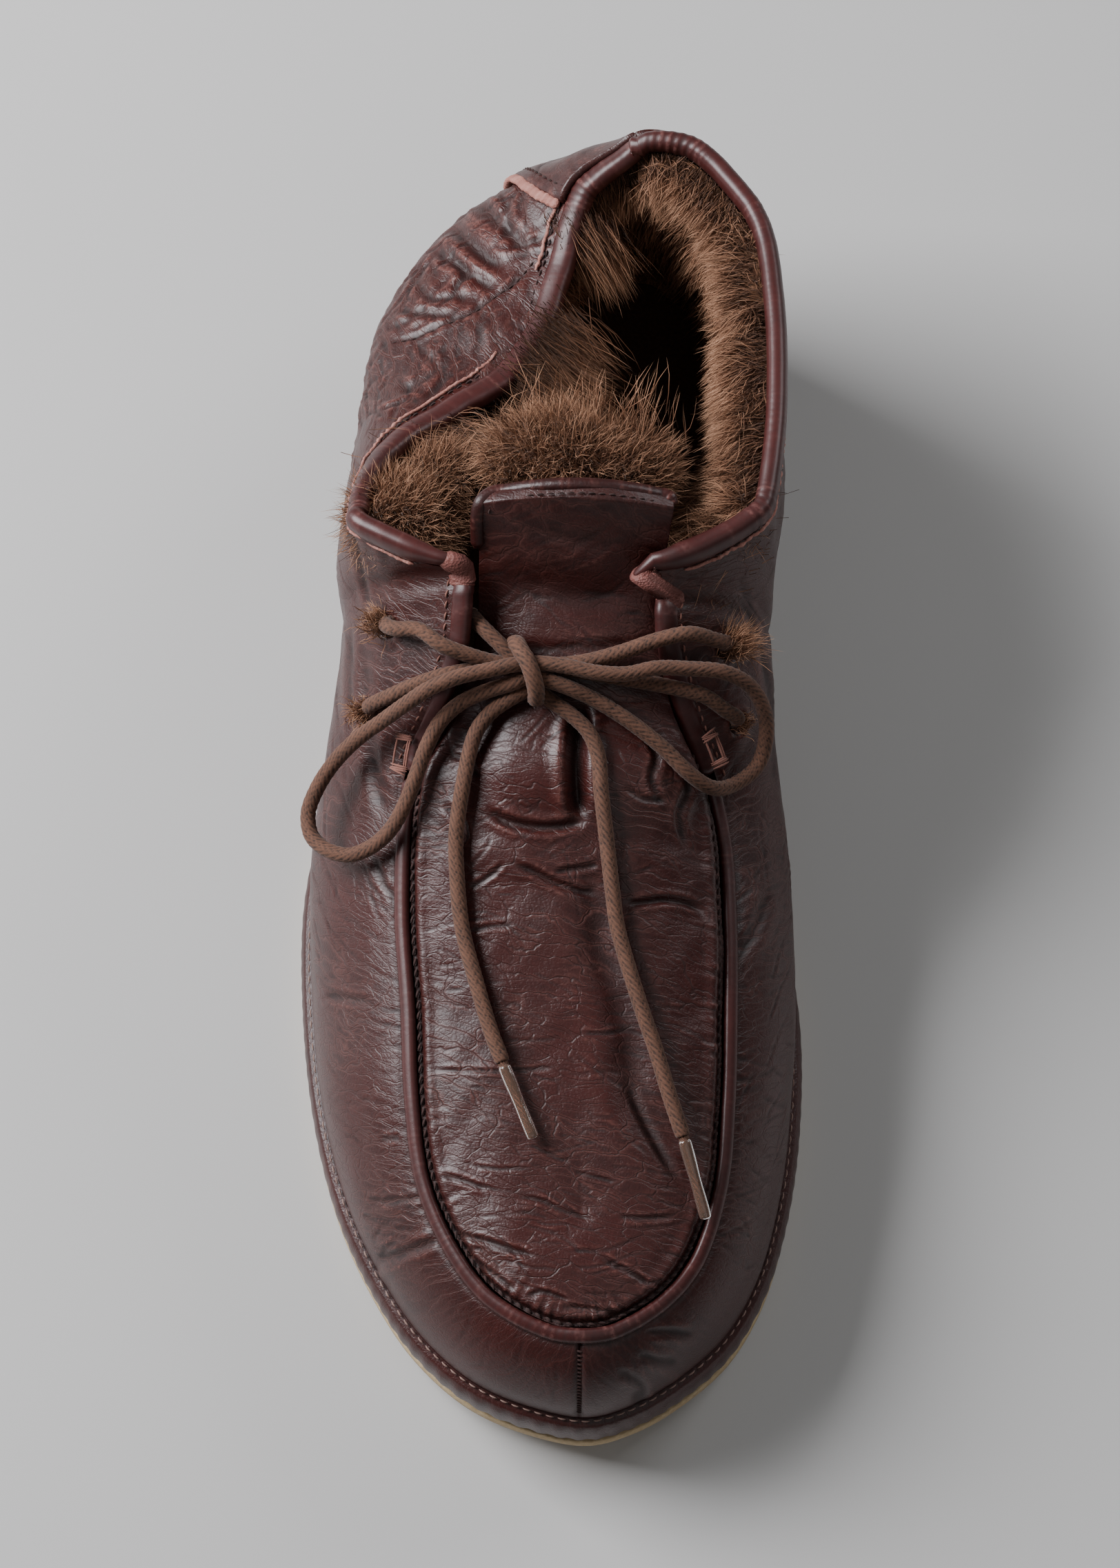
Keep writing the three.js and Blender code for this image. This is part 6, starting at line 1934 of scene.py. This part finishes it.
# %% [markdown]
# A few tufts stand out of the even pile. One hangs from the collar at the back, one under the fold
# points into the shoe, and one lies at each side further forwards. A large and a small frizzy ball
# fill the outer front corner, and two thick puffs lie behind the tongue, with pale stray hairs on
# top. Short hairs come out of the eyelets. Each is drawn by its place, size and way.

# %% Tufts
def tuft(name, start, stop, spread, count, length, seed, frizz, way, pale, curl=0.6):
    """Hairs that leave a short thick line from start to stop."""
    rng = np.random.default_rng(seed)
    start, stop = np.array(start, float), np.array(stop, float)
    at = rng.beta(1.0, 1.3, count)[:, None]
    roots = mix(start, stop, at) + rng.normal(size=(count, 3)) * np.array(spread) / 2
    ways = unit(np.array(way, float)) + rng.normal(0, frizz, (count, 3))
    lengths = rng.uniform(0.5, 1.15, count) * length
    hair_strips(name, roots, ways, lengths, rng, 0.1, pale, clump_size=22, clump=0.5, curl=curl)


tuft("tuft_hanging", (-3.5, 17.5, 72), (2, 12.5, 70), (5, 5, 4), 2200, 13, 61, 0.18,
     way=(0.5, -0.75, -0.5), pale=0.7)
tuft("tuft_under_fold", (-14, -24, 72), (-6, -8, 74), (6, 7, 5), 3000, 17, 62, 0.22,
     way=(0.75, -0.45, -0.5), pale=0.55)
tuft("tuft_medial_front", (35, -56, 84), (27, -67, 82), (7, 9, 6), 2600, 11, 64, 0.3,
     way=(-0.75, -0.35, 0.1), pale=0.6)
tuft("tuft_side", (-40, -45, 76), (-24, -36, 74), (7, 6, 4), 2800, 12, 63, 0.35,
     way=(0.6, -0.3, 0.1), pale=0.5)


def fur_lump(name, centre, size, seed, nodes=()):
    """Closed lumpy core of a tuft."""
    rows, columns = 26, 40
    polar = np.linspace(0.03, math.pi - 0.03, rows)[:, None]
    round_at = around(columns)[None, :]
    ball = np.stack([
        np.sin(polar) * np.cos(round_at), np.sin(polar) * np.sin(round_at),
        np.cos(polar) * np.ones_like(round_at),
    ], -1)
    radius = 1 + 0.14 * ripple(ball * 10, 9, seed)
    heap = Heap()
    heap.add(np.array(centre, float) + ball * np.array(size, float) * radius[..., None],
             tube_faces(rows, columns))
    made(name, heap, undercoat, nodes)


def frizz_ball(name, centre, size, count, length, seed, lean=(0, 0, 0.4), pale=0.5, nodes=()):
    """Short tangled hairs that leave an oval lump, and the lump itself."""
    rng = np.random.default_rng(seed)
    centre, size = np.array(centre, float), np.array(size, float)
    ways = unit(rng.normal(size=(count, 3)) + np.array([0, 0, 0.5]))
    swirl = ripple(centre + ways * size, 12, seed + 1)[:, None]
    roots = centre + ways * size * rng.uniform(0.6, 1.0, (count, 1)) ** 0.5
    heading = 0.8 * ways + rng.normal(0, 0.6, (count, 3)) + np.array(lean) + swirl * np.array([0.5, 0.3, 0.1])
    lengths = rng.uniform(0.4, 1.2, count) * length
    hair_strips(name, roots, heading, lengths, rng, 0.08, pale, clump_size=12, clump=0.35, curl=1.4)
    fur_lump(name + "_core", centre - np.array([0, 0, 0.8]), size * 0.86, seed + 2, nodes)


frizz_ball("corner_tuft", (-38, -60.5, 82), (11, 9, 8), 5600, 8, 71, lean=(0.1, -0.1, 0.3), pale=0.62)
frizz_ball("corner_tuft_small", (-30, -50, 78), (8, 7, 6), 2600, 9, 76, lean=(0.4, -0.1, 0.3), pale=0.5)
frizz_ball("tongue_puff", (-6, -51, 94), (14, 9.5, 8), 6200, 8, 73, lean=(-0.1, 0.2, 0.4), pale=0.6,
           nodes=["tongue_fur"])
frizz_ball("tongue_puff_side", (9, -52.5, 92), (10, 8, 6.5), 3400, 8, 77, lean=(0.2, 0.2, 0.4), pale=0.5)
tuft("tongue_stray", (-12, -46, 96), (17, -45, 96), (6, 6, 4), 420, 14, 85, 0.4, way=(0.1, 0.6, 0.8),
     pale=1.0, curl=1.2)
EYELET_TUFTS = [
    (EYELETS[0], (-0.8, 0.25, 0.5), 420, 6.5), (EYELETS[1], (-0.8, -0.1, 0.5), 300, 5.0),
    (EYELETS[2], (0.85, 0.3, 0.5), 620, 9.0), (EYELETS[3], (0.8, 0.0, 0.5), 160, 3.5),
]
for k, (centre, way, count, length) in enumerate(EYELET_TUFTS):
    root = np.array(centre) + 0.9 * np.array(way)
    tuft(f"eyelet_hair_{k}", root, root + 0.3 * np.array(way), (2.4, 2.4, 1.2), count, length, 90 + k,
         0.6, way=way, pale=0.85, curl=0.9)

# Short pile on the insole, deep in the shoe
insole_pile, pile_tree, pile_shader = material_of("insole pile", Roughness=0.95, Sheen_Weight=0.3)
pile_noise = noise(pile_tree, object_place(pile_tree), 1.2, 5.0)
pile_colour = blend_colours(pile_tree, pile_noise.outputs[0], colour(38, 24, 15), colour(96, 66, 44))
pile_tree.links.new(pile_colour, pile_shader.inputs["Base Color"])
insole_mesh = frame["nodes"]["insole"].data
insole_mesh.materials.clear()
insole_mesh.materials.append(insole_pile)

# %% [markdown]
# The shoe stands on a plain pale floor under soft light, with the key light from the upper left, as
# the broad sheen on the left side of the vamp and on the folded heel shows.

# %% Floor and light
floor_paint, _, _ = material_of("pale floor", Base_Color=(0.52, 0.51, 0.5, 1), Roughness=0.7)
floor_mesh = bpy.data.meshes.new("floor")
FLOOR = 3.0
corners = [(-FLOOR, -FLOOR, 0), (FLOOR, -FLOOR, 0), (FLOOR, FLOOR, 0), (-FLOOR, FLOOR, 0)]
floor_mesh.from_pydata(corners, [], [(0, 1, 2, 3)])
floor_mesh.materials.append(floor_paint)
floor = bpy.data.objects.new("floor", floor_mesh)
floor.location.z = cad_low.z - 0.0002
bpy.context.scene.collection.objects.link(floor)

world = bpy.data.worlds.new("studio")
bpy.context.scene.world = world
world.use_nodes = True
world.node_tree.nodes["Background"].inputs["Color"].default_value = (1, 1, 1, 1)
world.node_tree.nodes["Background"].inputs["Strength"].default_value = 0.1


def soft_light(name, place_at, size, power, tint=(1, 1, 1)):
    light = bpy.data.lights.new(name, "AREA")
    light.energy = power
    light.size = size
    light.color = tint
    obj = bpy.data.objects.new(name, light)
    obj.location = place_at
    toward = LOOKED_AT - Vector(place_at)
    obj.rotation_euler = toward.to_track_quat("-Z", "Y").to_euler()
    bpy.context.scene.collection.objects.link(obj)


soft_light("key", (-0.85, 0.2, 0.8), 0.7, 30, (0.96, 0.97, 1.0))
soft_light("rim", (0.75, 0.5, 0.7), 0.5, 3.5, (0.95, 0.97, 1.0))
soft_light("fill", (0.4, -0.8, 1.2), 1.2, 2)

# %% Size and finish
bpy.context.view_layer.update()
total = sum(len(o.data.polygons) for o in bpy.data.objects if o.type == "MESH")
print("faces in the scene:", total)
